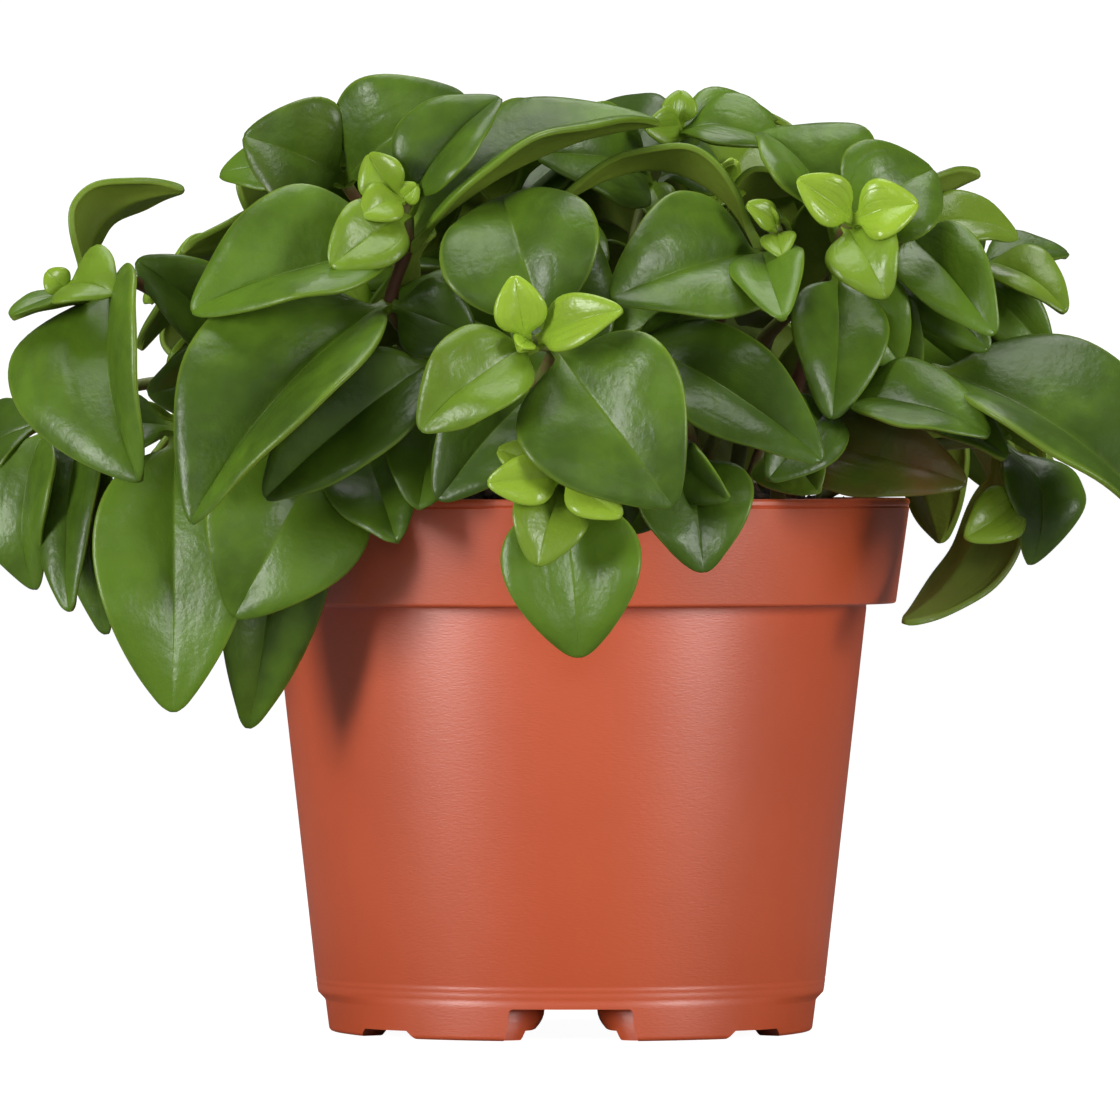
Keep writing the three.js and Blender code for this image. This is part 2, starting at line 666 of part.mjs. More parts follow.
function pottedPlant() {
  const group = new THREE.Group();
  const plans = plannedStems();
  const pot = potSolid();
  const soil = soilSolid([...plans.values()].map((plan) => plan.root));
  addMesh(group, 'pot', pot, '#c4664a', 0.45);
  addMesh(group, 'soil', soil, '#3b2b20', 0.95);
  const standing = [pot, soil].map((solid) => ({ name: '', solid, box: boxOf(solid) }));
  const bodies = new Map();
  for (const [name, plan] of plans) {
    const solid = stemSolid(plan);
    bodies.set(name, [solid]);
    standing.push({ name, solid, box: boxOf(solid), isStem: true });
  }
  for (const [name, { leaves }] of plans) {
    for (const planned of leaves) {
      for (const leaf of bentClear(planned)) {
        const solid = leafSolid(leaf);
        if (isClear(solid, name, standing)) {
          bodies.get(name).push(solid);
          standing.push({ name, solid, box: boxOf(solid) });
          break;
        }
      }
    }
  }
  for (const [name, solids] of bodies) {
    addMesh(group, `stem_${name}`, wasm.Manifold.union(solids).simplify(FINEST), '#55832f', 0.4);
  }
  return group;
}

export default pottedPlant();
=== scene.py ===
"""Dresses a peperomia in its nursery pot: fleshy leaves, arching stems, satin plastic and crumbly soil."""

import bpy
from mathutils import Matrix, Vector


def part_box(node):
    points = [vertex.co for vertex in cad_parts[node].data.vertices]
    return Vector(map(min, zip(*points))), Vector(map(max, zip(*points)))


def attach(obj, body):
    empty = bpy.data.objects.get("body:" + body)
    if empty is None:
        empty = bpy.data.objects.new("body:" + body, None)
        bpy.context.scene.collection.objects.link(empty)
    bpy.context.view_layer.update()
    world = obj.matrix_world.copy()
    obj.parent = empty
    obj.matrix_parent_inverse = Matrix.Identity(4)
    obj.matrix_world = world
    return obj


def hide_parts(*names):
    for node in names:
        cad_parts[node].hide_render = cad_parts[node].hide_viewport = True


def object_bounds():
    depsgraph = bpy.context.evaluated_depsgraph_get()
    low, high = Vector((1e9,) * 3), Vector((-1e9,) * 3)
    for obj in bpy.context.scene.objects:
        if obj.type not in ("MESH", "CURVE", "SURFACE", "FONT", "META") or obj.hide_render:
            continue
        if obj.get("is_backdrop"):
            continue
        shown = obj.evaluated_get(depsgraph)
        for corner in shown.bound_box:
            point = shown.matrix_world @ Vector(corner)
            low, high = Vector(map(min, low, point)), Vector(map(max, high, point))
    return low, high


bl_info = {
    "name": "Potted Peperomia",
    "version": (1, 0, 0),
    "blender": (4, 5, 0),
    "location": "View3D > Sidebar > Peperomia",
    "description": "Models a bushy peperomia with fleshy pointed leaves in a tapered plastic pot",
    "category": "Add Mesh",
}

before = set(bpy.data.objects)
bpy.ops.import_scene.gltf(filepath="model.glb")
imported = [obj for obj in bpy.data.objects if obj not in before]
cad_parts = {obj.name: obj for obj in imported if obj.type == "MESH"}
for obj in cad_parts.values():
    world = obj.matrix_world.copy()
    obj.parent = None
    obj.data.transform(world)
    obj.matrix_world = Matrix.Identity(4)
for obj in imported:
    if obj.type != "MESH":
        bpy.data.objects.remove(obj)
CAD_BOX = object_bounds()

import math
import random
from dataclasses import dataclass, replace

import bmesh
import bpy
from bpy.props import FloatProperty, FloatVectorProperty, IntProperty, PointerProperty
from mathutils import Matrix, Quaternion, Vector, noise
from mathutils.kdtree import KDTree

MM = 0.001  # the plan below is in millimetres, and Blender works in metres
BODY = "root"

POT_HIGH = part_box("pot")[1]
POT_HEIGHT = POT_HIGH.z / MM
RIM_RADIUS = POT_HIGH.x / MM

# ---- the plant's plan

STEM_RADIUS = 1.7
ROOT_SHOWN = 4.0  # how far a stem is modelled down into the soil
STEM_END = 1.0
MARGIN_THICKNESS = 0.8
PETIOLE_LENGTH = 4.0
PETIOLE_SHARE = 0.2  # the most that a short leaf's petiole takes of its length
WIDEST_AT = 0.37  # share of the blade's length, from its base
SOIL_LEVEL = 90.5  # at the pot's wall
SOIL_MOUND = 7.0  # how much higher the soil stands in the middle
SOIL_GAP = 0.3

# The stems in front are given as they are seen from the front, x and z where they pass the pot's middle.
VIEW_DISTANCE = 2200.0
VIEW_X = -1.9
VIEW_Z = 103.5

# Each stem: where it leaves the soil, the points that it passes, and its leaves. Each leaf: the number of
# the point that it grows from, its tip's x, y and z, its width, and its turn in degrees, its arch in mm and
# its fold, where they aren't the usual ones.
USUAL_BENDS = (0, 3, 0.3)
SEEN_STEMS = {
    "centre": ((0, -32),
        [(-2, -50, 108), (-6, -64, 113), (-3, -78, 121), (-6, -82, 121.5), (-8, -85, 122)], [
        (2, 18.3, -91, 92.7, 30, 0, 5, 0.2), (2, -12, -60, 147, 28, 0, 8, 0.25),
        (3, -26.5, -90, 106, 17, 20, 4, 0.35), (3, 9.3, -94, 127.3, 10, -25, 2, 0.4),
        (4, -10, -89, 133.5, 9, 0, 1, 0.4), (4, -9, -91, 120.5, 4, 0, 0),
        (1, -23.5, -76, 93.8, 18, 10, 4), (1, 3, -60, 141, 18),
    ]),
    "left_crown": ((-14, -22),
        [(-22, -40, 116), (-32, -58, 128.5), (-29, -60, 138), (-29, -62, 144.5), (-30, -64, 147)], [
        (1, -67, -76, 89.5, 33, 40, 5, 0.62), (2, -67, -66, 126.8, 26, 40, 3, 0.55),
        (2, 15.7, -50, 160.5, 25, -68, 5, 0.6), (3, -12.3, -60, 164.6, 17, -38, 3, 0.5),
        (3, -42.5, -72, 135, 13, 10, 2), (4, -37, -69, 144, 8, 20, 1),
        (4, -35.5, -64, 155, 9, -20, 1, 0.4), (4, -27, -66, 149.5, 4, 0, 0),
        (1, -17, -62, 123, 14, 0, 2),
    ]),
    "low_front": ((6, -44), [(5, -54, 101), (2, -64, 103), (-1, -74, 97), (-2, -80, 97), (-1, -84, 98)], [
        (2, 1.5, -77, 66, 24, 0, 4, 0.25), (3, -6, -88, 82, 13, 0, 2), (4, -14, -90, 95.5, 9, 0, 2),
        (4, 10, -90, 92.5, 8.5, 0, 2), (3, -13, -84, 102.5, 9, 20, 2),
        (3, 12, -85, 97.5, 7, -20, 2), (4, -2.5, -87, 101.5, 3, 0, 0), (4, 2.2, -88, 101, 3, 0, 0),
    ]),
    "right_crown": ((22, -16),
        [(34, -32, 122), (47, -46, 134), (47.5, -52, 139.5), (49, -57, 142), (50, -60, 143)], [
        (2, 33.5, -44, 158.5, 24, 40, 4, 0.5), (2, 64, -46, 152, 21, -15, 5),
        (3, 56, -67, 129.5, 13), (4, 40, -66, 150.5, 9, 15, 1, 0.4),
        (4, 61.5, -64, 146, 11, -15, 2, 0.4), (1, 46, -62, 108, 17, -10), (1, 58, -50, 118, 16),
        (4, 54, -63, 144.3, 3, 0, 0),
    ]),
    "right_middle": ((14, -26), [(24, -40, 122), (34, -52, 137), (36.5, -58, 140.5), (36, -60, 142)], [
        (1, 7, -74, 129, 26, 22, 4, 0.35), (1, 38.5, -77, 122, 13),
        (1, -2, -46, 146.5, 15, 100, 11, 0.4), (2, 37.5, -66, 136.5, 6, 0, 1),
        (3, 31, -64, 146, 5, 30, 1), (3, 33.8, -62, 146.5, 4, -30, 0),
    ]),
    "far_left": ((-34, -8),
        [(-60, -24, 120), (-80, -40, 133), (-84, -42, 129), (-86, -44, 130), (-89, -46, 131)], [
        (1, -76, -66, 97, 33, 42, 4, 0.6), (3, -68.3, -38, 148.7, 16, -118, 8),
        (2, -99, -50, 126, 12, 80, 1), (4, -80.5, -56, 130, 14, -40, 2, 0.4),
        (4, -92.5, -46, 134, 5, 0, 1), (0, -77, -36, 136, 15, 30), (0, -75, -30, 113, 15, -30),
    ]),
    "right_hand": ((38, -18), [(52, -34, 112), (63, -46, 117)], [
        (1, 107.5, -54, 86, 36, -55, 5, 0.45), (0, 77, -50, 101, 14, -55, 2, 0.4),
        (0, 60, -50, 130, 14, 0, 2),
    ]),
    "mid_right": ((24, -36), [(18, -52, 112), (10, -60, 122)], [
        (1, 44.5, -78, 100.5, 20, -25, 4), (1, 26, -62, 131, 8, 40, 1),
    ]),
    "low_right": ((18, -44), [(18, -54, 101), (19, -63, 104), (21, -67, 103)], [
        (2, 23.6, -76, 81, 20, 0, 3, 0.35), (2, 30, -76, 91.5, 10, 40), (1, 10, -70, 88, 14),
    ]),
    "under_right": ((36, -32), [(38, -44, 104), (47, -54, 111.5)], [
        (1, 74, -66, 105, 16, -45, 3, 0.4), (1, 34.7, -68, 97.3, 13, 0, 2),
        (0, 44, -62, 95, 15, 10), (0, 70, -56, 96.5, 17, -20),
    ]),
    "left_middle": ((-20, -40), [(-24, -52, 108), (-23, -61, 119)], [
        (1, -54, -66, 94, 19, 20, 3, 0.4), (0, -27, -66, 92, 15, 0, 2),
    ]),
    "low_left": ((-30, -34), [(-36, -44, 102), (-43, -50, 104)], [
        (1, -59.5, -58, 73, 29, 0, 5, 0.2), (0, -30.6, -66, 86.2, 18), (1, -57, -50, 118, 18),
    ]),
    "hanging_left": ((-38, -22), [(-52, -34, 104), (-70, -44, 106)], [
        (1, -70.3, -51, 56.2, 28, 0, 4, 0.25), (0, -57.2, -42, 53.4, 20, -10, 9),
        (1, -84, -44, 104, 12, 40),
    ]),
    "outer_left": ((-42, -4), [(-66, -14, 114), (-84, -26, 112), (-91, -28, 108)], [
        (2, -94.5, -32, 78, 20, 45, 5, 0.4), (1, -88.5, -44, 74, 14, 35, 4),
        (1, -82, -34, 70, 12, 30, 4), (2, -103.4, -14, 92, 18, 60, 4),
    ]),
    "back_left_crown": ((-20, 4), [(-30, -16, 134), (-40, -30, 150)], [
        (1, -58, -38, 158, 22, 15, 4), (1, -18.5, -40, 165, 24, -15, 5, 0.2),
        (1, -62, -28, 151, 13, 40), (0, -69, -32, 137.5, 20, 140, 4), (0, -62, -24, 128, 14, 40),
    ]),
    "top": ((4, -10), [(10, -16, 134), (14, -18, 150), (18, -22, 158), (19, -23, 160)], [
        (1, -7, -38, 155, 20, 30, 4), (2, 37, -28, 156, 15, -50, 3, 0.4),
        (3, 19.5, -23, 166, 6, 0, 1), (3, 13, -30, 159.5, 7, 0, 1), (1, 4, 4, 163, 18, 30, 4),
        (1, 22, -2, 158, 18, 20, 4), (2, 36, -10, 161, 12, -50),
    ]),
    "right_arch": ((34, -2), [(48, -20, 134), (57, -36, 138), (59, -39, 141)], [
        (2, 75, -55, 123, 15, -10, 4, 0.4), (2, 79, -36, 140, 14, -50),
        (1, 74.8, -45, 119, 12, 0, 2), (2, 72.5, -30, 151.5, 10, -110, 2), (0, 76, -38, 112, 17),
    ]),
    "far_right": ((40, 4), [(58, -10, 128), (71, -24, 134)], [
        (1, 88, -20, 137, 12, -60, 2), (1, 87.5, -38, 126.8, 12, -50, 4, 0.4),
        (1, 85, -28, 119.5, 11), (0, 80, -30, 111, 14), (0, 72, -6, 147, 14),
    ]),
    "low_far_right": ((44, -6), [(62, -16, 103), (76, -26, 103), (80, -36, 94)], [
        (1, 81, -34, 82.4, 18, -40, 7), (1, 58.8, -34, 72.2, 15, -135, 7),
        (2, 69.6, -46, 87, 10, 0, 2),
    ]),
}

# The other stems grow by rule: (compass in degrees from +X towards +Y, reach, crown, droop, leaf pairs).
RULED_STEMS = {
    "skirt_1": (8, 72, 114, 0.76, 3),
    "skirt_2": (36, 78, 116, 0.78, 3),
    "skirt_3": (67, 76, 114, 0.8, 3),
    "skirt_4": (96, 80, 116, 0.78, 3),
    "skirt_5": (125, 78, 114, 0.8, 3),
    "skirt_6": (153, 76, 116, 0.78, 3),
    "middle_1": (26, 58, 138, 0.6, 3),
    "middle_2": (62, 60, 140, 0.62, 3),
    "middle_3": (98, 62, 138, 0.6, 3),
    "middle_4": (134, 60, 140, 0.62, 3),
    "middle_5": (170, 60, 138, 0.6, 3),
    "top_1": (50, 32, 152, 0.52, 3),
    "top_2": (105, 32, 153, 0.52, 3),
    "top_3": (152, 32, 151, 0.52, 3),
    "top_4": (352, 26, 147, 0.52, 3),
    "inner_1": (220, 14, 147, 0.5, 3),
    "inner_2": (265, 44, 118, 0.56, 2),
    "inner_3": (222, 46, 124, 0.56, 2),
}
FIRST_LEAF = 37.0
LAST_LEAF = 24.0
SEED = 20
DRAW_FACTOR = 16807
DRAW_PRIME = 2147483647
RULED_FOLD = 0.35
RULED_AGE = 0.4  # of the last pair on a stem
SPRING_HEIGHT = 96  # where a stem starts to arch
LEAST_ROOT = 12  # how far from the axis the shortest stem would be rooted
DOME_CENTRE = Vector((0, 0, 92))
TO_FRONT = Vector((0, -1, 0))

# The looks of the leaves in front, by their place in their stem's list.
# How young a leaf is: 0 for a full-grown dark one and 1 for a bright new one.
YOUNG = {
    "centre": {2: 0.25, 3: 0.8, 4: 1.0, 5: 1.0},
    "left_crown": {4: 0.35, 5: 0.6, 6: 0.6, 7: 0.8},
    "low_front": {1: 0.45, 2: 0.9, 3: 0.9, 4: 0.8, 5: 0.8, 6: 1.0, 7: 1.0},
    "right_crown": {2: 0.4, 3: 0.9, 4: 1.0, 7: 1.0},
    "right_middle": {3: 0.5, 4: 0.6, 5: 0.7},
    "far_left": {3: 0.3, 4: 0.6},
    "right_arch": {1: 0.35},
    "far_right": {1: 0.35},
    "top": {2: 0.4, 3: 0.4},
    "low_far_right": {2: 0.7},
}
# How much red-brown shows in a leaf.
RUSTY = {"under_right": {2: 0.25, 3: 0.85}, "back_left_crown": {0: 0.1}, "low_far_right": {1: 0.35}}
# How pale a leaf's green is, from 0 to 1, where it isn't left to chance: partly the leaf's own tone, partly
# painted shade on leaves that face away from the light and painted sheen on leaves that catch it.
PALE_TONE_AND_PAINTED_LIGHT = {
    "centre": {0: 0.4, 1: 0.15},
    "left_crown": {0: 0.35, 1: 0.7, 2: 0.6, 3: 0.3},
    "low_front": {0: 1.0},
    "right_crown": {0: 0.6, 1: 0.5, 5: 0.4},
    "right_middle": {0: 0.5, 1: 0.8},
    "far_left": {0: 0.7},
    "right_hand": {0: 0.0},
    "hanging_left": {0: 1.0, 1: 0.6},
    "low_left": {0: 0.8},
    "back_left_crown": {0: 0.2, 1: 0.3},
    "right_arch": {0: 0.9},
}
LEAF_LOOKS = {"age": YOUNG, "rust": RUSTY, "pale": PALE_TONE_AND_PAINTED_LIGHT}
# Small side leaves that the solids leave out, in the same terms as a stem's own leaves.
LEAFLETS = {"top": [(1, 17.5, -24, 142.5, 6.5, 0, 1)]}
LEAFLET_AGE = 0.2


@dataclass
class Leaf:
    """One leaf: from its node in the stem to its tip, in millimetres."""

    node: Vector
    tip: Vector
    width: float
    turn: float
    arch: float
    fold: float
    outward: Vector
    age: float = 0.0
    rust: float = 0.0
    pale: float = None


def from_front(point):
    """The true place of a point whose x and z are given as they look from the front."""
    x, y, z = point
    nearer = (VIEW_DISTANCE + y) / VIEW_DISTANCE
    return Vector((VIEW_X + (x - VIEW_X) * nearer, y, VIEW_Z + (z - VIEW_Z) * nearer))


def seen_leaf(way, row, **looks):
    """A leaf from its row in a stem's list."""
    at, x, y, z, width, *bends = row
    turn, arch, fold = (*bends, *USUAL_BENDS[len(bends):])
    return Leaf(way[at], from_front((x, y, z)), width, turn, arch, fold, TO_FRONT, **looks)


def seen_plan(name):
    """Root, way and leaves of a stem that the front shows."""
    root, way, rows = SEEN_STEMS[name]
    way = [from_front(point) for point in way]
    leaves = []
    for number, row in enumerate(rows):
        looks = {look: table.get(name, {}).get(number) for look, table in LEAF_LOOKS.items()}
        given = {look: value for look, value in looks.items() if value is not None}
        leaves.append(seen_leaf(way, row, **given))
    return root, way, leaves


def seeded_draw(seed):
    """Endless numbers between 0 and 1, the same ones for the same seed."""
    state = seed
    while True:
        state = (state * DRAW_FACTOR) % DRAW_PRIME
        yield state / DRAW_PRIME


def ruled_plan(name, draw):
    """Root, way and leaves of a stem that rises, arches over and carries crossed pairs of leaves."""
    compass, reach, crown, droop, pairs = RULED_STEMS[name]
    angle = math.radians(compass)
    out = Vector((math.cos(angle), math.sin(angle), 0))
    across = Vector((-out.y, out.x, 0))
    root_reach = LEAST_ROOT + 0.35 * reach
    way = []
    for step in range(pairs + 1):
        share = 0.2 + 0.8 * step / pairs
        point = out * (root_reach + (reach - root_reach) * share**1.3)
        point.z = SPRING_HEIGHT + (crown - SPRING_HEIGHT) * math.sin(share * droop * math.pi)
        way.append(point)
    leaves = []
    for pair in range(pairs):
        node = way[pair + 1]
        ahead = (node - way[pair]).normalized()
        rise = -across.cross(ahead)
        length = FIRST_LEAF + (LAST_LEAF - FIRST_LEAF) * (pair / (pairs - 1)) ** 1.2
        for hand in (1, -1):
            tip = node + (rise if pair % 2 else across) * hand * length * (0.7 + 0.14 * next(draw))
            tip += ahead * length * (0.4 + 0.25 * next(draw))
            tip.z -= length * (0.1 + 0.25 * next(draw))
            width = length * (0.6 + 0.1 * next(draw))
            turn = 30 * (next(draw) - 0.5)
            arch = 2 + 3 * next(draw)
            age = RULED_AGE if pair == pairs - 1 else 0.0
            outward = (node + tip) * 0.5 - DOME_CENTRE
            leaves.append(Leaf(node, tip, width, turn, arch, RULED_FOLD, outward, age))
    return (out.x * root_reach, out.y * root_reach), way, leaves


# ---- where each leaf stands

SWINGS = (0, 8, 16, 26)
SWING_WAYS = 8
SIZES = (1, 0.85, 0.7, 0.55)
SAME_POINT = 0.12  # mm
BROAD = 26.0  # a blade this wide, or this much bowed, has three rows of corners in the frame's solid
BOWED = 7.0
BROAD_ROWS = (0.07, 0.36, 0.72)
NARROW_ROWS = (0.1, 0.5)
ENOUGH_CORNERS = 3


def axes_of(leaf):
    """Unit vectors along the leaf, across it and out of its upper face."""
    line = (leaf.tip - leaf.node).normalized()
    side = line.cross(leaf.outward).normalized()
    side.rotate(Quaternion(line, math.radians(leaf.turn)))
    return line, side, side.cross(line)


def bent_clear(leaf):
    """The places that a leaf may have swung to, the planned one first."""
    line = leaf.tip - leaf.node
    side = line.cross(leaf.outward).normalized()
    for size in SIZES:
        for swing in SWINGS:
            for way in range(SWING_WAYS if swing else 1):
                axis = side.copy()
                axis.rotate(Quaternion(line.normalized(), way / SWING_WAYS * 2 * math.pi))
                swung = line.copy()
                swung.rotate(Quaternion(axis, math.radians(swing)))
                yield replace(leaf, tip=leaf.node + swung * size, width=leaf.width * size)


def points_of(node):
    """The corners of a solid of the frame, ready for looking up the nearest one."""
    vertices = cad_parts[node].data.vertices
    tree = KDTree(len(vertices))
    for vertex in vertices:
        tree.insert(vertex.co / MM, vertex.index)
    tree.balance()
    return tree


def corners_found(leaf, corners):
    """How many of a leaf's own corners the frame's solid has, if the leaf stands like this."""
    line, side, face = axes_of(leaf)
    length = (leaf.tip - leaf.node).length
    petiole = min(PETIOLE_LENGTH, PETIOLE_SHARE * length)
    half_edge = MARGIN_THICKNESS / 2
    found = sum(corners.find(leaf.tip + face * (up * half_edge))[2] < SAME_POINT for up in (1, -1))
    for share in BROAD_ROWS if leaf.width >= BROAD or leaf.arch >= BOWED else NARROW_ROWS:
        along = petiole + (length - petiole) * share
        half = blade_half_width(share, leaf.width)
        bow = 4 * leaf.arch * along * (length - along) / length**2
        middle = leaf.node + line * along + face * (bow + leaf.fold * half)
        for hand in (1, -1):
            found += abs(corners.find(middle + side * (hand * half))[2] - half_edge) < SAME_POINT
    return found


def as_it_stands(leaf, corners):
    """The leaf where the frame's solid has it, or None where the solid has none."""
    best = max(bent_clear(leaf), key=lambda place: corners_found(place, corners))
    return best if corners_found(best, corners) >= ENOUGH_CORNERS else None


# ---- meshes

TIP_RADIUS = 1.2
LEAST_TIP_RADIUS = 0.3
TIP_HALF_WIDTH = 0.3
PETIOLE_HALF_WIDTH = 1.15
COLUMN_CLUSTER = 0.72
ROW_CLUSTER = 0.5
MARGIN_ROLL_FROM = 0.8
STALK_THICKNESS = 1.9
RIPPLES = 1.4  # waves along a margin
FINE_RIPPLES = 2.7
WAVY_WIDTH = 20.0  # from this width on, a blade waves and swells in full
FULL_HALF_WIDTH = 6.0  # and where it is this wide to each side
RIBBED_WIDTH = 18.0  # and has its midrib in full
RIB_SHARE = 0.1  # of the half width, above
UNDER_RIB_SHARE = 0.12
WIDE_LEAF = 11.0  # a leaf wider, or longer, than this gets a finer grid
LONG_LEAF = 22.0
MOST_TWIST = math.radians(6)
SLOPE_STEP = 0.02  # how far to each side of a point the slope of the sheet is read
STEM_SIDES = 8
NODE_SWELLING = 0.35
NODE_LENGTH = 2.2
BUD_LENGTH = 7.5
BUD_WIDTH = 4.2
BUD_SPREAD = 2.2


def clustered(share, strength):
    """Moves evenly spaced shares closer together at every whole number."""
    return share - strength / (2 * math.pi) * math.sin(2 * math.pi * share)


def smooth_step(value, low, high):
    """0 below low, 1 above high and a smooth rise between."""
    t = min(max((value - low) / (high - low), 0.0), 1.0)
    return t * t * (3 - 2 * t)


def blade_half_width(share, width):
    """Half the blade's width at a share of its length: rounded at the base, drawn out to a point."""
    rise = 0.5
    fall = rise * (1 - WIDEST_AT) / WIDEST_AT
    peak = WIDEST_AT**rise * (1 - WIDEST_AT) ** fall
    return (width / 2) * share**rise * (1 - share) ** fall / peak


class Blade:
    """The curved middle sheet of a leaf, and its thickness."""

    def __init__(self, leaf, settings, rnd):
        self.leaf = leaf
        self.settings = settings
        self.line, self.side, self.face = axes_of(leaf)
        self.length = (leaf.tip - leaf.node).length
        self.petiole = min(PETIOLE_LENGTH, PETIOLE_SHARE * self.length)
        self.wave = settings.margin_wave / MM * min(1.0, leaf.width / WAVY_WIDTH)
        self.swell = settings.swelling / MM * min(1.0, leaf.width / WAVY_WIDTH)
        self.phases = [rnd.uniform(0, 2 * math.pi) for _ in range(4)]
        self.twist = rnd.uniform(-MOST_TWIST, MOST_TWIST)

    def place(self, across, along):
        """The point of the sheet at across, from -1 to 1, and along, from 0 at the node to 1 at the tip."""
        leaf = self.leaf
        distance = self.length * along
        share = min(max((distance - self.petiole) / (self.length - self.petiole), 0.0), 1.0)
        blade = blade_half_width(share, leaf.width)
        tip_radius = min(TIP_RADIUS, LEAST_TIP_RADIUS + 0.06 * leaf.width)
        stalk = PETIOLE_HALF_WIDTH + (tip_radius - PETIOLE_HALF_WIDTH) * share**0.5
        to_tip = min(1.0, (self.length - distance) / tip_radius)
        half = math.hypot(blade, stalk) * math.sqrt(max(0.0, 1 - (1 - to_tip) ** 2))
        half = max(half, TIP_HALF_WIDTH)
        roll = self.twist * (share - WIDEST_AT)
        side = self.side * math.cos(roll) + self.face * math.sin(roll)
        bow = 4 * leaf.arch * along * (1 - along)
        edge = abs(across)
        rise = leaf.fold * blade * edge * (1.6 - 0.6 * edge)
        hand = 0 if across < 0 else 1
        ripple = math.sin(2 * math.pi * RIPPLES * share + self.phases[hand])
        ripple += 0.5 * math.sin(2 * math.pi * FINE_RIPPLES * share + self.phases[hand + 2])
        broad = min(1.0, blade / FULL_HALF_WIDTH)
        rise += self.wave * ripple * edge**2 * broad
        spot = Vector((across * 1.7, along * 3.1, self.phases[0] * 3))
        rise += self.swell * noise.noise(spot) * broad
        curl = min(max(0.0, (edge - MARGIN_ROLL_FROM) / (1 - MARGIN_ROLL_FROM)), 1.1)
        rise -= self.settings.margin_roll / MM * curl**2 * min(1.0, blade / 5)
        return leaf.node + self.line * distance + side * (across * half) + self.face * (bow + rise)

    def thickness(self, across, along, up):
        """How far the upper or lower skin stands from the sheet."""
        edge = abs(across)
        blade = self.settings.leaf_thickness / MM * (1 - 0.2 * edge**4)
        stalk = STALK_THICKNESS * (1 - smooth_step(along, 0.02, 0.28))
        half = max(blade, stalk) / 2
        fade = smooth_step(along, 0.04, 0.16) * (1 - smooth_step(along, 0.8, 1.0))
        size = min(1.0, self.leaf.width / RIBBED_WIDTH)
        depth = self.settings.midrib_depth / MM * size * fade
        if up > 0:
            return half - depth * math.exp(-((across / RIB_SHARE) ** 2))
        return half + 1.5 * depth * math.exp(-((across / UNDER_RIB_SHARE) ** 2))

    def skin(self, across, along, up):
        """A point of the upper skin where up is 1, and of the lower one where it is -1."""
        middle = self.place(across, along)
        ahead = self.place(across, along + SLOPE_STEP) - self.place(across, along - SLOPE_STEP)
        wide = self.place(across + SLOPE_STEP, along) - self.place(across - SLOPE_STEP, along)
        away = wide.cross(ahead).normalized()
        return middle + away * (up * self.thickness(across, along, up))


def faces_round(vertices):
    """The faces that meet at any of the vertices, each one once."""
    return list(dict.fromkeys(face for vertex in vertices for face in vertex.link_faces))


def vertices_in(geometry):
    """The vertices among the parts that an operator has made."""
    return [item for item in geometry if isinstance(item, bmesh.types.BMVert)]


def pushed_out(bm, face):
    """Pushes a tube's end face out and returns the new vertices and the new end face."""
    grown = bmesh.ops.extrude_face_region(bm, geom=[face, *face.edges])["geom"]
    return vertices_in(grown), next(item for item in grown if isinstance(item, bmesh.types.BMFace))


def add_leaf(bm, layers, leaf, settings, rnd):
    """A closed leaf: a grid laid out on the blade's sheet and thickened to both sides."""
    blade = Blade(leaf, settings, rnd)
    columns = 16 if leaf.width > WIDE_LEAF else 8
    rows = 22 if blade.length > LONG_LEAF else 12
    chance = rnd.random()
    # a listed paleness partly paints shade or sheen on that one leaf
    kind = (leaf.age, chance if leaf.pale is None else leaf.pale, leaf.rust, 1.0)
    sheet = bmesh.ops.create_grid(bm, x_segments=columns, y_segments=rows, size=1.0)["verts"]
    grown = bmesh.ops.extrude_face_region(bm, geom=faces_round(sheet), use_keep_orig=True)["geom"]
    upper = vertices_in(grown)
    for vertices, up in ((sheet, -1), (upper, 1)):
        for vertex in vertices:
            across = clustered(vertex.co.x, COLUMN_CLUSTER)
            along = clustered((vertex.co.y + 1) / 2, ROW_CLUSTER)
            vertex.co = blade.skin(across, along, up)
            vertex[layers["leaf_place"]] = ((across + 1) / 2, along, (1 - up) / 2, 1.0)
            vertex[layers["leaf_kind"]] = kind
    shell = faces_round(sheet + upper)
    bmesh.ops.recalc_face_normals(bm, faces=shell)
    for face in shell:
        face.smooth = True


def spline_points(points, spacing):
    """Points along the smooth curve that passes the given ones."""
    ends = [points[0] * 2 - points[1], *points, points[-1] * 2 - points[-2]]
    result = []
    for before, start, end, after in zip(ends, ends[1:], ends[2:], ends[3:]):
        gaps = [(b - a).length ** 0.5 for a, b in ((before, start), (start, end), (end, after))]
        mean = (end - start) / gaps[1]
        leaving = (start - before) / gaps[0] - (end - before) / (gaps[0] + gaps[1]) + mean
        arriving = mean - (after - start) / (gaps[1] + gaps[2]) + (after - end) / gaps[2]
        leaving *= gaps[1]
        arriving *= gaps[1]
        steps = max(2, round((end - start).length / spacing))
        for step in range(steps):
            t = step / steps
            result.append(
                start * (2 * t**3 - 3 * t**2 + 1)
                + leaving * (t**3 - 2 * t**2 + t)
                + end * (3 * t**2 - 2 * t**3)
                + arriving * (t**3 - t**2)
            )
    result.append(points[-1])
    return result


def soil_height(radius):
    """Height of the soil at a distance from the pot's axis."""
    return SOIL_LEVEL + SOIL_MOUND * (1 - (radius / RIM_RADIUS) ** 2)


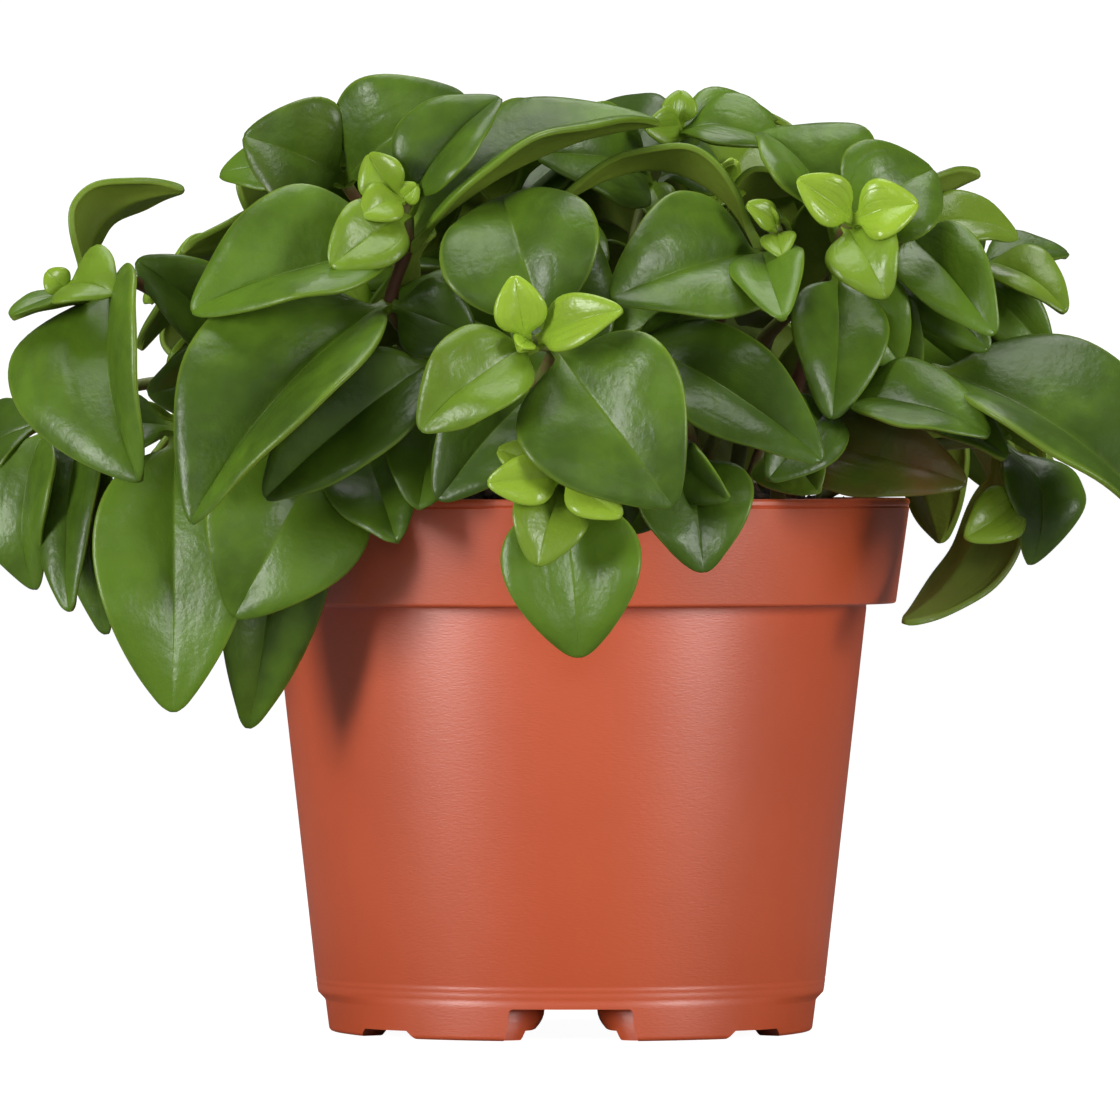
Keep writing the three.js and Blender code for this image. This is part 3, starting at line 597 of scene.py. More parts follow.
def add_stem(bm, layers, root, way, settings):
    """A round stem that swells at its nodes, pushed forward section by section from its root to its tip."""
    x, y = root
    surface = soil_height(math.hypot(x, y))
    low = Vector((x, y, surface - ROOT_SHOWN))
    high = Vector((x, y, surface + 1))
    end = way[-1] + (way[-1] - way[-2]).normalized() * STEM_END
    points = [low, *spline_points([high, *way[:-1], end], settings.stem_spacing / MM)]
    lengths = [0.0]
    for a, b in zip(points, points[1:]):
        lengths.append(lengths[-1] + (b - a).length)
    turn = Vector((0, 0, 1)).rotation_difference(points[1] - points[0])
    place = Matrix.LocRotScale(points[0], turn, None)
    made = bmesh.ops.create_circle(bm, cap_ends=True, segments=STEM_SIDES, radius=STEM_RADIUS, matrix=place)
    made = list(made["verts"])
    face = made[0].link_faces[0]
    ahead = points[1] - points[0]
    for number, point in enumerate(points[1:], start=1):
        section, face = pushed_out(bm, face)
        onward = points[min(number + 1, len(points) - 1)] - points[number - 1]
        bend = ahead.rotation_difference(onward)
        ahead = onward
        share = lengths[number] / lengths[-1]
        swell = sum(math.exp(-(((point - node).length / NODE_LENGTH) ** 2)) for node in way)
        radius = STEM_RADIUS * (0.95 - 0.35 * share) + NODE_SWELLING * min(1.0, swell)
        centre = points[number - 1]
        for vertex in section:
            spoke = bend @ (vertex.co - centre)
            vertex.co = point + spoke.normalized() * radius
        made += section
    for vertex in made:
        vertex[layers["leaf_kind"]] = (0.0, 0.5, 0.0, 1.0)
    tube = faces_round(made)
    for face in tube:
        face.smooth = True
        face.material_index = 1
    bmesh.ops.recalc_face_normals(bm, faces=tube)


def add_bud(bm, layers, way, settings, rnd):
    """A closed pair of new leaves at a stem's tip."""
    ahead = (way[-1] - way[-2]).normalized()
    across = ahead.cross(Vector((0, 0, 1))).normalized()
    across.rotate(Quaternion(ahead, rnd.uniform(0, math.pi)))
    for hand in (1, -1):
        tip = way[-1] + ahead * BUD_LENGTH + across * (hand * BUD_SPREAD)
        bud = Leaf(way[-1], tip, BUD_WIDTH, 0.0, 0.9, 0.5, across * -hand, age=1.0)
        add_leaf(bm, layers, bud, settings, rnd)


def new_object(name, bm):
    """An object whose mesh is the given shape."""
    mesh = bpy.data.meshes.new(name)
    bm.to_mesh(mesh)
    bm.free()
    made = bpy.data.objects.new(name, mesh)
    bpy.context.scene.collection.objects.link(made)
    return made


def finish_piece(name, bm, materials, nodes):
    """Makes the piece in metres, at the origin, riding on the body and standing for its solids."""
    bm.transform(Matrix.Scale(MM, 4))
    piece = new_object(name, bm)
    for material in materials:
        piece.data.materials.append(material)
    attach(piece, BODY)
    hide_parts(*nodes)
    return piece


def leafy_stem(name, plan, settings, has_bud):
    """One stem with its leaves, as one piece."""
    root, way, leaves = plan
    rnd = random.Random(SEED + sum(map(ord, name)))
    bm = bmesh.new()
    layers = {key: bm.verts.layers.float_color.new(key) for key in ("leaf_place", "leaf_kind")}
    add_stem(bm, layers, root, way, settings)
    corners = points_of(f"stem_{name}")
    for leaf in leaves:
        standing = as_it_stands(leaf, corners)
        if standing:
            add_leaf(bm, layers, standing, settings, rnd)
    for row in LEAFLETS.get(name, ()):
        add_leaf(bm, layers, seen_leaf(way, row, age=LEAFLET_AGE), settings, rnd)
    if has_bud:
        add_bud(bm, layers, way, settings, rnd)
    materials = [leaf_material(settings), stem_material(settings)]
    piece = finish_piece(f"leafy_{name}", bm, materials, [f"stem_{name}"])
    smooth = piece.modifiers.new("smooth", "SUBSURF")
    smooth.levels = 1
    smooth.render_levels = 1


# ---- the pot

RIM_DEPTH = 18.6
RIM_FOOT_RADIUS = 57.6
BODY_TOP_RADIUS = 52.4
BODY_FOOT_RADIUS = 44.8
BASE_HEIGHT = 6.9
BASE_RADIUS = 43.2
WALL = 1.3
FLOOR = 3.1
FOOT_RING_RADIUS = 38.5  # inside the ring that the pot stands on
RECESS_HEIGHT = 1.6  # how far the underside is raised inside that ring
FOOT_ROUNDING = 0.8
TUNNEL_HEIGHT = 5.6
TUNNEL_MOUTH = 21.6
TUNNEL_THROAT = 9.2
TUNNEL_ROOF = 1.5
NOTCH_HEIGHT = 1.4
NOTCH_WIDTH = 11.5
NOTCH_LENGTH = 14.0
NOTCH_ANGLES = (42, 138, 222, 318)
DRAIN_RADIUS = 3.2
DRAIN_PLACES = (-20, 0, 20)
CORNER = 0.8  # radius of the tunnel's upper corners
FOOT_FLARE = 3.3  # how far the tunnel widens towards the ground, under the middle
MOUTH_FLARE = 0.9  # and at its mouths
GROOVE_DEPTH = 0.06
BODY_SLOPE = 0.11
NOTCH_SPREAD = 1.28  # how much wider a notch is at the ground than at its roof
HAIRLINES = (1.45, 2.5)  # heights of the two hairline rings over the base
GROOVE_HALF = 0.25
GROOVE_LEAN = 0.03
TUNNEL_NARROWS_AT = 40  # how far from the axis the tunnel starts to narrow
TUNNEL_NARROW_AT = 26
MOUTH_FROM = 30  # from here outwards it flares less towards the ground
CURVE_STEPS = 8
SHARP_EDGE = math.radians(32)
SOIL_SIDES = 120
SOIL_RINGS = 34
SOIL_INSET = 1.0  # between the soil's edge and the wall, at the top
# the soil's uneven top: how fine its lumps are, how high, and where in the noise they are read
LUMPS = ((0.16, 1.3, 0), (0.55, 0.9, 7))
SOIL_SETTLING = 0.6  # how far the lumpy top lies under the smooth one
CRUMB_SUNK = 0.4
CRUMB_ROUGHNESS = 0.25


def arc(centre, radius, start, end, steps):
    """Points (radius from the axis, height) on a round corner, from one angle to another in degrees."""
    cx, cz = centre
    angles = [math.radians(start + (end - start) * step / steps) for step in range(steps + 1)]
    return [(cx + radius * math.cos(angle), cz + radius * math.sin(angle)) for angle in angles]


def groove(z):
    """A hairline ring in the outside, near the foot of the body."""
    radius = BODY_FOOT_RADIUS + BODY_SLOPE * (z - BASE_HEIGHT)
    low = (radius - GROOVE_LEAN, z - GROOVE_HALF)
    high = (radius + GROOVE_LEAN, z + GROOVE_HALF)
    return [low, (radius - GROOVE_DEPTH, z), high]


def outer_profile():
    """The pot's outside from the middle of its foot to the top of its rim."""
    ledge = POT_HEIGHT - RIM_DEPTH
    return [
        (0, RECESS_HEIGHT),
        (FOOT_RING_RADIUS - 0.2, RECESS_HEIGHT),
        *arc((FOOT_RING_RADIUS + 0.4, 0.4), 0.4, 180, 270, 3),
        *arc((BASE_RADIUS - 1.2, FOOT_ROUNDING), FOOT_ROUNDING, 280, 360, 4),
        (BASE_RADIUS + 0.2, BASE_HEIGHT - 1.5),
        (BASE_RADIUS + 0.35, BASE_HEIGHT - 1.2),
        (BODY_FOOT_RADIUS - 0.4, BASE_HEIGHT - 0.3),
        (BODY_FOOT_RADIUS - 0.1, BASE_HEIGHT),
        (BODY_FOOT_RADIUS, BASE_HEIGHT + 0.4),
        *[point for height in HAIRLINES for point in groove(BASE_HEIGHT + height)],
        (BODY_TOP_RADIUS - 0.1, ledge - 1),
        *arc((BODY_TOP_RADIUS + 0.3, ledge - 0.4), 0.4, 180, 90, 3),
        *arc((RIM_FOOT_RADIUS - 0.55, ledge + 0.55), 0.55, 270, 358, 4),
        (RIM_RADIUS - 0.1, POT_HEIGHT - 1.7),
        (RIM_RADIUS - 0.3, POT_HEIGHT - 1.4),
        (RIM_RADIUS - 0.05, POT_HEIGHT - 1.1),
        *arc((RIM_RADIUS - 0.6, POT_HEIGHT - 0.6), 0.6, 5, 90, 4),
        (RIM_RADIUS - 0.6, POT_HEIGHT),
    ]


def inner_profile(inset, top):
    """The space inside the pot from its floor up to top, drawn in by inset."""
    ledge = POT_HEIGHT - RIM_DEPTH
    rim_foot = RIM_FOOT_RADIUS - WALL - inset - 0.8
    rim = RIM_RADIUS - WALL - inset
    return [
        (0, FLOOR + inset),
        (BASE_RADIUS - 1.2 - WALL - inset, FLOOR + inset),
        (BODY_FOOT_RADIUS - WALL - inset - 0.6, BASE_HEIGHT),
        (BODY_TOP_RADIUS - WALL - inset, ledge + 0.4 + inset),
        *arc((rim_foot - 1.4, ledge + 3.2 + inset), 1.4, 290, 355, 3),
        (rim, POT_HEIGHT - 0.4),
        (rim + 0.3, POT_HEIGHT),
        (rim + 0.3, top),
        (0, top),
    ]


def spun(profile, sides):
    """A closed solid from a profile that starts and ends on the axis."""
    bm = bmesh.new()
    vertices = [bm.verts.new((radius, 0, z)) for radius, z in profile]
    edges = [bm.edges.new(pair) for pair in zip(vertices, vertices[1:])]
    turn = {"cent": (0, 0, 0), "axis": (0, 0, 1), "angle": 2 * math.pi}
    bmesh.ops.spin(bm, geom=vertices + edges, steps=sides, use_merge=True, **turn)
    bmesh.ops.remove_doubles(bm, verts=bm.verts, dist=1e-4)
    bmesh.ops.recalc_face_normals(bm, faces=bm.faces)
    return bm


def widened(widening, y):
    """How far a side of the tunnel moves out: it flares towards the ground, less so at the mouths."""
    if widening < 0:
        return widening
    mouth = smooth_step(abs(y), MOUTH_FROM, TUNNEL_NARROWS_AT)
    return widening * (1 - mouth + mouth * MOUTH_FLARE / FOOT_FLARE)


def tunnel_cutter(grow):
    """The drain tunnel: wide at its two mouths, narrow under the middle, with rounded upper corners."""
    mouth = TUNNEL_MOUTH / 2 + grow
    throat = TUNNEL_THROAT / 2 + grow
    far = BODY_TOP_RADIUS + 5
    start = TUNNEL_NARROW_AT - grow
    end = TUNNEL_NARROWS_AT - grow
    quarter = [(mouth, far), (mouth, end)]
    for step in range(1, CURVE_STEPS + 1):
        t = step / CURVE_STEPS
        x = mouth * (1 - t) ** 2 + throat * 2 * t * (1 - t) + throat * t**2
        y = end * (1 - t) ** 2 + (end - 2) * 2 * t * (1 - t) + start * t**2
        quarter.append((x, y))
    right = quarter + [(x, -y) for x, y in reversed(quarter)]
    outline = right + [(-x, -y) for x, y in right]
    top = TUNNEL_HEIGHT + grow
    levels = [(-2, FOOT_FLARE), (0, FOOT_FLARE)]
    side = top - CORNER
    levels += [(side * share, FOOT_FLARE * (1 - share) ** 2) for share in (0.17, 0.33, 0.5, 0.67, 0.83)]
    levels += [
        (top - CORNER * (1 - math.sin(angle)), -CORNER * (1 - math.cos(angle)))
        for angle in (math.radians(degrees) for degrees in (0, 22.5, 45, 67.5, 90))
    ]
    bm = bmesh.new()
    face = bm.faces.new([bm.verts.new((x, y, 0)) for x, y in outline])
    before = 0.0
    for number, (z, widening) in enumerate(levels):
        if number:
            _, face = pushed_out(bm, face)
        for vertex in face.verts:
            x, y, _ = vertex.co
            vertex.co = (x + math.copysign(1, x) * (widened(widening, y) - widened(before, y)), y, z)
        before = widening
    bmesh.ops.recalc_face_normals(bm, faces=bm.faces)
    return bm


def notch_cutter():
    """The four shallow drain notches between the feet."""
    bm = bmesh.new()
    for degrees in NOTCH_ANGLES:
        turn = Matrix.Rotation(math.radians(degrees), 4, "Z")
        place = turn @ Matrix.Translation((BASE_RADIUS, 0, 0))
        size = Matrix.Diagonal((NOTCH_LENGTH, NOTCH_WIDTH, 2 * NOTCH_HEIGHT, 1))
        block = bmesh.ops.create_cube(bm, size=1, matrix=place @ size)["verts"]
        lower = [vertex for vertex in block if vertex.co.z < 0]
        spread = Matrix.Diagonal((1, 2 * NOTCH_SPREAD - 1, 1, 1))
        bmesh.ops.transform(bm, matrix=spread, space=place.inverted(), verts=lower)
    return bm


def drain_cutter():
    """The drain holes in the tunnel's roof."""
    bm = bmesh.new()
    for y in DRAIN_PLACES:
        size = {"radius1": DRAIN_RADIUS, "radius2": DRAIN_RADIUS, "depth": 20}
        bmesh.ops.create_cone(bm, cap_ends=True, segments=24, matrix=Matrix.Translation((0, y, 0)), **size)
    return bm


def cut(solid, cutter):
    """Takes one solid away from another, and removes the one that cut."""
    modifier = solid.modifiers.new("cut", "BOOLEAN")
    modifier.operation = "DIFFERENCE"
    modifier.solver = "EXACT"
    modifier.object = cutter
    evaluated = solid.evaluated_get(bpy.context.evaluated_depsgraph_get())
    mesh = bpy.data.meshes.new_from_object(evaluated)
    solid.modifiers.clear()
    solid.data = mesh
    bpy.data.objects.remove(cutter)


def taken_up(solid):
    """The shape of an object, which is removed."""
    bm = bmesh.new()
    bm.from_mesh(solid.data)
    bpy.data.objects.remove(solid)
    return bm


def make_flush(blank):
    """Lets the base run on in the body's line at the front and the back, where the step fades out."""
    for vertex in blank.verts:
        x, y, z = vertex.co
        radius = math.hypot(x, y)
        if z < BASE_HEIGHT and radius > BASE_RADIUS - 2:
            line = BODY_FOOT_RADIUS + BODY_SLOPE * (max(z, FOOT_ROUNDING) - BASE_HEIGHT)
            here = radius if z > FOOT_ROUNDING else BASE_RADIUS - 0.4
            out = max(0.0, line - here) * smooth_step(abs(y) / radius, 0.3, 0.75)
            vertex.co += Vector((x, y, 0)) * (out / radius)


def pot_mesh(sides):
    """The whole pot in millimetres."""
    blank = spun([*outer_profile(), (0, POT_HEIGHT)], sides)
    make_flush(blank)
    pot = new_object("pot_blank", blank)
    cavity = new_object("cavity", spun(inner_profile(0, POT_HEIGHT + 5), sides))
    cut(cavity, new_object("tunnel_wall", tunnel_cutter(TUNNEL_ROOF)))
    cut(pot, cavity)
    cut(pot, new_object("tunnel", tunnel_cutter(0)))
    cut(pot, new_object("notches", notch_cutter()))
    cut(pot, new_object("drains", drain_cutter()))
    bm = taken_up(pot)
    bmesh.ops.remove_doubles(bm, verts=bm.verts, dist=0.01)
    bmesh.ops.dissolve_degenerate(bm, dist=0.01, edges=bm.edges)
    return bm


def soil_mesh(crumbs, crumb_size):
    """The soil in millimetres, with its uneven top and its crumbs."""
    rnd = random.Random(SEED)
    edge = RIM_RADIUS - WALL - SOIL_INSET
    profile = inner_profile(SOIL_GAP, POT_HEIGHT)[:-4]
    for ring in range(SOIL_RINGS + 1):
        radius = edge * (1 - ring / SOIL_RINGS)
        profile.append((radius, soil_height(radius)))
    filled = new_object("soil_blank", spun(profile, SOIL_SIDES))
    cut(filled, new_object("tunnel_room", tunnel_cutter(TUNNEL_ROOF + SOIL_GAP)))
    bm = taken_up(filled)
    for vertex in bm.verts:
        x, y, z = vertex.co
        surface = soil_height(math.hypot(x, y))
        if abs(z - surface) < 0.01 and math.hypot(x, y) < edge - 0.5:
            rough = sum(noise.noise(Vector((x, y, start)) * fine) * high for fine, high, start in LUMPS)
            vertex.co.z = surface + rough - SOIL_SETTLING
    for _ in range(crumbs):
        distance = (edge - 2.5) * math.sqrt(rnd.random())
        angle = rnd.uniform(0, 2 * math.pi)
        x = distance * math.cos(angle)
        y = distance * math.sin(angle)
        spot = Vector((x, y, soil_height(distance) - CRUMB_SUNK))
        stretch = Matrix.Diagonal([crumb_size * rnd.uniform(0.5, 1.6) for _ in range(3)]).to_4x4()
        turn = Quaternion((rnd.uniform(-1, 1), rnd.uniform(-1, 1), 1), rnd.uniform(0, 6)).normalized()
        place = Matrix.Translation(spot) @ turn.to_matrix().to_4x4() @ stretch
        crumb = bmesh.ops.create_icosphere(bm, subdivisions=1, radius=1.0, matrix=place)["verts"]
        for vertex in crumb:
            vertex.co += (vertex.co - spot) * rnd.uniform(-CRUMB_ROUGHNESS, CRUMB_ROUGHNESS)
    for face in bm.faces:
        face.smooth = True
    return bm


# ---- materials

# How fine each pattern is: the higher the number, the smaller its spots.
LEAF_CLOUDS = 60
LEAF_MOTTLE = 260
LEAF_SHEEN = 300
LEAF_DIMPLES = 190
LEAF_GRAIN = 1100
NERVE_WANDER = 90
NERVE_BREAKS = 45
RUST_BLOTCHES = 70
STEM_PATCHES = 90
STEM_GRAIN = 900
POT_CLOUDS = 28
POT_DENTS = 90
POT_SCUFFS = 220
POT_SPECKS = 900
POT_GRAIN = 900
SOIL_FLECKS = 420
SOIL_GRAIN = 700
FLOOR_CLOUDS = 3.0

NERVES = (0.36, 0.68)  # where two nerves run, as a share of the way from midrib to margin
NERVE_HALF_WIDTH = 0.07
NERVE_STRENGTH = 0.16
RIB_STRENGTH = 0.12
# strength of the pale margin band, which is partly a painted highlight
MARGIN_AND_HIGHLIGHT_STRENGTH = 0.5
PETIOLE_STRENGTH = 0.6
UPPER_ROUGHNESS = 0.29
LOWER_ROUGHNESS = 0.56
POT_ROUGHNESS = 0.38
DUSTY_SHARE = 0.985  # how bright the floor's darker clouds are beside the others
WHITE = (1.0, 1.0, 1.0, 1.0)
SOCKETS = {
    "colour": "Base Color",
    "roughness": "Roughness",
    "specular": "Specular IOR Level",
    "normal": "Normal",
    "glow": "Emission Strength",
    "glow_colour": "Emission Color",
}


class Nodes:
    """The node tree of a material or a world, with short ways to add to it."""

    def __init__(self, owner):
        owner.use_nodes = True
        self.owner = owner
        self.tree = owner.node_tree

    def feed(self, node, values):
        """Links or sets a node's inputs."""
        for key, value in values.items():
            if isinstance(value, bpy.types.NodeSocket):
                self.tree.links.new(value, node.inputs[key])
            else:
                node.inputs[key].default_value = value

    def add(self, kind, output, inputs=None, **settings):
        """An output of a new node."""
        node = self.tree.nodes.new(kind)
        for key, value in settings.items():
            setattr(node, key, value)
        self.feed(node, inputs or {})
        return node.outputs[output]

    def object_place(self):
        """The place on the object, in metres."""
        return self.add("ShaderNodeTexCoord", "Object")

    def attribute(self, name):
        """The three values of a mesh attribute."""
        split = self.tree.nodes.new("ShaderNodeSeparateColor")
        self.feed(split, {0: self.add("ShaderNodeAttribute", "Color", attribute_name=name)})
        return split.outputs

    def seen_by_camera(self):
        """1 where the camera looks straight at it, and 0 for every other ray of light."""
        return self.add("ShaderNodeLightPath", "Is Camera Ray")

    def cloud(self, where, scale, detail=3.0):
        """Cloudy values round one half."""
        return self.add("ShaderNodeTexNoise", "Fac", {"Vector": where, "Scale": scale, "Detail": detail})

    def step(self, value, low, high, start=0.0, end=1.0):
        """A smooth rise from start to end while the value goes from low to high."""
        inputs = {"Value": value, "From Min": low, "From Max": high, "To Min": start, "To Max": end}
        return self.add("ShaderNodeMapRange", "Result", inputs, interpolation_type="SMOOTHSTEP")

    def math(self, operation, *values):
        """One step of arithmetic."""
        return self.add("ShaderNodeMath", 0, dict(enumerate(values)), operation=operation)

    def times(self, first, second):
        """A product."""
        return self.math("MULTIPLY", first, second)

    def scaled_sum(self, value, share, base):
        """The base, and a share of the value on top."""
        return self.math("MULTIPLY_ADD", value, share, base)

    def mix(self, factor, first, second):
        """One colour laid over another."""
        colours = [c if isinstance(c, bpy.types.NodeSocket) else (*c, 1.0) for c in (first, second)]
        return self.add("ShaderNodeMix", 2, {0: factor, 6: colours[0], 7: colours[1]}, data_type="RGBA")

    def bump(self, height, strength, distance):
        """Relief of the given height, in metres."""
        inputs = {"Height": height, "Strength": strength, "Distance": distance}
        return self.add("ShaderNodeBump", "Normal", inputs)

    def finish(self, **looks):
        """The material, once its main shader has its looks."""
        self.feed(self.tree.nodes["Principled BSDF"], {SOCKETS[key]: value for key, value in looks.items()})
        return self.owner


def leaf_material(plant):
    """Waxy leaf skin: faint nerves, a pale margin that is partly a painted highlight, a matt yellow-green
    underside and bright new leaves.
    """
    name = "waxy_leaf"
    if name in bpy.data.materials:
        return bpy.data.materials[name]
    nodes = Nodes(bpy.data.materials.new(name))
    where = nodes.object_place()
    across, along, under = nodes.attribute("leaf_place")
    age, pale, rust = nodes.attribute("leaf_kind")
    edge = nodes.math("ABSOLUTE", nodes.scaled_sum(across, 2.0, -1.0))
    cloud = nodes.cloud(where, LEAF_CLOUDS)
    # the per-leaf pale value lightens or darkens the green: partly the leaf's own tone, partly painted shade
    # and painted sheen
    blend = nodes.scaled_sum(pale, 0.45, cloud)
    blend = nodes.scaled_sum(nodes.cloud(where, LEAF_MOTTLE), 0.35, blend)
    upper = nodes.mix(nodes.step(blend, 0.6, 1.2), plant.leaf_dark, plant.leaf_green)
    upper = nodes.mix(age, upper, plant.leaf_young)
    # two faint nerves on each side run from the base to the tip, side by side with the margin
    track = nodes.math("ADD", edge, nodes.scaled_sum(nodes.cloud(where, NERVE_WANDER), 0.16, -0.08))
    gaps = [nodes.math("ABSOLUTE", nodes.math("SUBTRACT", track, nerve)) for nerve in NERVES]
    vein = nodes.math("MAXIMUM", *[nodes.step(gap, 0.0, NERVE_HALF_WIDTH, 1.0, 0.0) for gap in gaps])
    vein = nodes.times(vein, nodes.step(along, 0.85, 0.55))
    vein = nodes.times(vein, nodes.step(nodes.cloud(where, NERVE_BREAKS), 0.4, 0.7))
    upper = nodes.mix(nodes.times(vein, NERVE_STRENGTH), upper, plant.leaf_dark)
    rib = nodes.step(edge, 0.0, 0.08, 1.0, 0.0)
    upper = nodes.mix(nodes.times(rib, RIB_STRENGTH), upper, plant.leaf_margin)
    lower = nodes.mix(cloud, plant.leaf_under, plant.leaf_under_deep)
    lower = nodes.mix(nodes.times(age, 0.7), lower, plant.leaf_young)
    colour = nodes.mix(nodes.step(under, 0.3, 0.7), upper, lower)
    # the pale band along the margin is partly its own yellow-green and partly a painted highlight where
    # light catches the rolled edge
    margin = nodes.step(edge, 0.92, 1.0)
    colour = nodes.mix(nodes.times(margin, MARGIN_AND_HIGHLIGHT_STRENGTH), colour, plant.leaf_margin)
    petiole = nodes.step(along, 0.16, 0.02)
    colour = nodes.mix(nodes.times(petiole, PETIOLE_STRENGTH), colour, plant.leaf_margin)
    rusty = nodes.times(rust, nodes.step(nodes.cloud(where, RUST_BLOTCHES), 0.25, 0.75))
    colour = nodes.mix(rusty, colour, plant.leaf_rust)
    rough = nodes.step(under, 0.3, 0.7, UPPER_ROUGHNESS, LOWER_ROUGHNESS)
    rough = nodes.scaled_sum(nodes.cloud(where, LEAF_SHEEN), 0.14, rough)
    rough = nodes.scaled_sum(age, -0.1, rough)
    relief = nodes.times(nodes.cloud(where, LEAF_GRAIN, 2.0), 0.2)
    relief = nodes.scaled_sum(nodes.cloud(where, LEAF_DIMPLES, 2.0), 0.8, relief)
    relief = nodes.scaled_sum(vein, -0.12, relief)
    normal = nodes.bump(relief, 0.6, 0.0006)
    return nodes.finish(colour=colour, roughness=rough, specular=0.38, normal=normal)


def stem_material(plant):
    """Smooth olive stems that redden in patches."""
    name = "olive_stem"
    if name in bpy.data.materials:
        return bpy.data.materials[name]
    nodes = Nodes(bpy.data.materials.new(name))
    where = nodes.object_place()
    patch = nodes.step(nodes.cloud(where, STEM_PATCHES), 0.42, 0.66)
    colour = nodes.mix(patch, plant.stem_green, plant.stem_red)
    normal = nodes.bump(nodes.cloud(where, STEM_GRAIN), 0.4, 0.0004)
    return nodes.finish(colour=colour, roughness=0.5, specular=0.35, normal=normal)


def pot_material(pot):
    """Satin moulded plastic with a faint grain and a few scuffs."""
    nodes = Nodes(bpy.data.materials.new("satin_terracotta_plastic"))
    where = nodes.object_place()
    colour = nodes.mix(nodes.step(nodes.cloud(where, POT_CLOUDS), 0.3, 0.7), pot.pot_deep, pot.pot_colour)
    speck = nodes.step(nodes.cloud(where, POT_SPECKS, 1.0), 0.72, 0.8)
    colour = nodes.mix(nodes.times(speck, 0.25), colour, pot.pot_deep)
    rough = nodes.scaled_sum(nodes.cloud(where, POT_SCUFFS), 0.06, POT_ROUGHNESS)
    lying = nodes.add("ShaderNodeMapping", "Vector", {"Vector": where, "Scale": (1.0, 1.0, 4.0)})
    grain = nodes.math("ADD", nodes.cloud(lying, POT_GRAIN, 2.0), nodes.cloud(where, POT_DENTS, 1.0))
    return nodes.finish(colour=colour, roughness=rough, specular=1.0, normal=nodes.bump(grain, 0.1, 0.0003))


def soil_material(pot):
    """Dark damp peat with paler fibres."""
    nodes = Nodes(bpy.data.materials.new("potting_soil"))
    where = nodes.object_place()
    fleck = nodes.step(nodes.cloud(where, SOIL_FLECKS, 4.0), 0.45, 0.75)
    colour = nodes.mix(fleck, pot.soil_dark, pot.soil_light)
    normal = nodes.bump(nodes.cloud(where, SOIL_GRAIN, 6.0), 0.9, 0.0015)
    return nodes.finish(colour=colour, roughness=0.92, normal=normal)


def floor_material(stage):
    """A matt table that shows itself white to the camera, and throws little light back on the pot."""
    nodes = Nodes(bpy.data.materials.new("white_table"))
    where = nodes.object_place()
    dusty = [DUSTY_SHARE * value for value in stage.floor_colour]
    colour = nodes.mix(nodes.cloud(where, FLOOR_CLOUDS), stage.floor_colour, dusty)
    distance = nodes.add("ShaderNodeVectorMath", "Value", {0: where}, operation="LENGTH")
    glow = nodes.times(nodes.seen_by_camera(), nodes.step(distance, 0.1, 0.8, stage.glow, 1.0))
    return nodes.finish(colour=colour, roughness=0.7, specular=0.2, glow=glow, glow_colour=WHITE)


def studio_world(stage):
    """Dim light all round, and a white room where the camera looks past the plant."""
    nodes = Nodes(bpy.data.worlds.new("studio"))
    strength = nodes.step(nodes.seen_by_camera(), 0.0, 1.0, stage.room, stage.wall)
    nodes.feed(nodes.tree.nodes["Background"], {"Strength": strength, "Color": WHITE})
    return nodes.owner


# ---- settings


def length_property(name, description, default, low, high):
    """A length in metres."""
    return FloatProperty(
        name=name, description=description, default=default, min=low, max=high, unit="LENGTH", precision=5
    )


def colour_property(name, description, default):
    """A linear colour."""
    return FloatVectorProperty(
        name=name, description=description, default=default, size=3, min=0.0, max=1.0, subtype="COLOR"
    )


def strength_property(name, description, default):
    """How bright something is, beside plain white."""
    return FloatProperty(name=name, description=description, default=default, min=0.0, max=5.0)


def power_property(name, description, default):
    """A light's power in watts."""
    return FloatProperty(name=name, description=description, default=default, min=0.0, unit="POWER")


class PlantSettings(bpy.types.PropertyGroup):
    """Sizes and colours of leaves and stems."""

    leaf_thickness: length_property("Leaf thickness", "At the middle of a blade", 0.0014, 0.0006, 0.003)
    midrib_depth: length_property("Midrib depth", "Of the groove along the upper face", 0.00012, 0.0, 0.001)
    margin_roll: length_property("Margin roll", "How far the margin turns down", 0.0006, 0.0, 0.002)
    margin_wave: length_property("Margin wave", "How far the margins ripple", 0.0006, 0.0, 0.002)
    swelling: length_property("Swelling", "How uneven the blades are", 0.0009, 0.0, 0.003)
    stem_spacing: length_property("Stem section", "Distance between a stem's sections", 0.003, 0.001, 0.01)
    leaf_dark: colour_property("Dark leaf", "Upper face in its darkest patches", (0.045, 0.09, 0.007))
    leaf_green: colour_property("Leaf", "Upper face in its paler patches", (0.105, 0.2, 0.013))
    leaf_young: colour_property("New leaf", "Upper face of a new leaf", (0.3, 0.46, 0.035))
    # along the margin this colour is partly a painted highlight on the rolled edge
    leaf_margin: colour_property("Margin", "Rolled edge, petiole and midrib", (0.2, 0.31, 0.025))
    leaf_under: colour_property("Underside", "Lower face", (0.17, 0.24, 0.018))
    leaf_under_deep: colour_property("Deep underside", "Lower face where it is darker", (0.11, 0.165, 0.013))
    leaf_rust: colour_property("Rust", "Reddened leaf", (0.14, 0.062, 0.018))
    stem_green: colour_property("Stem", "Olive stem", (0.14, 0.17, 0.04))
    stem_red: colour_property("Red stem", "Reddened stem", (0.14, 0.06, 0.03))


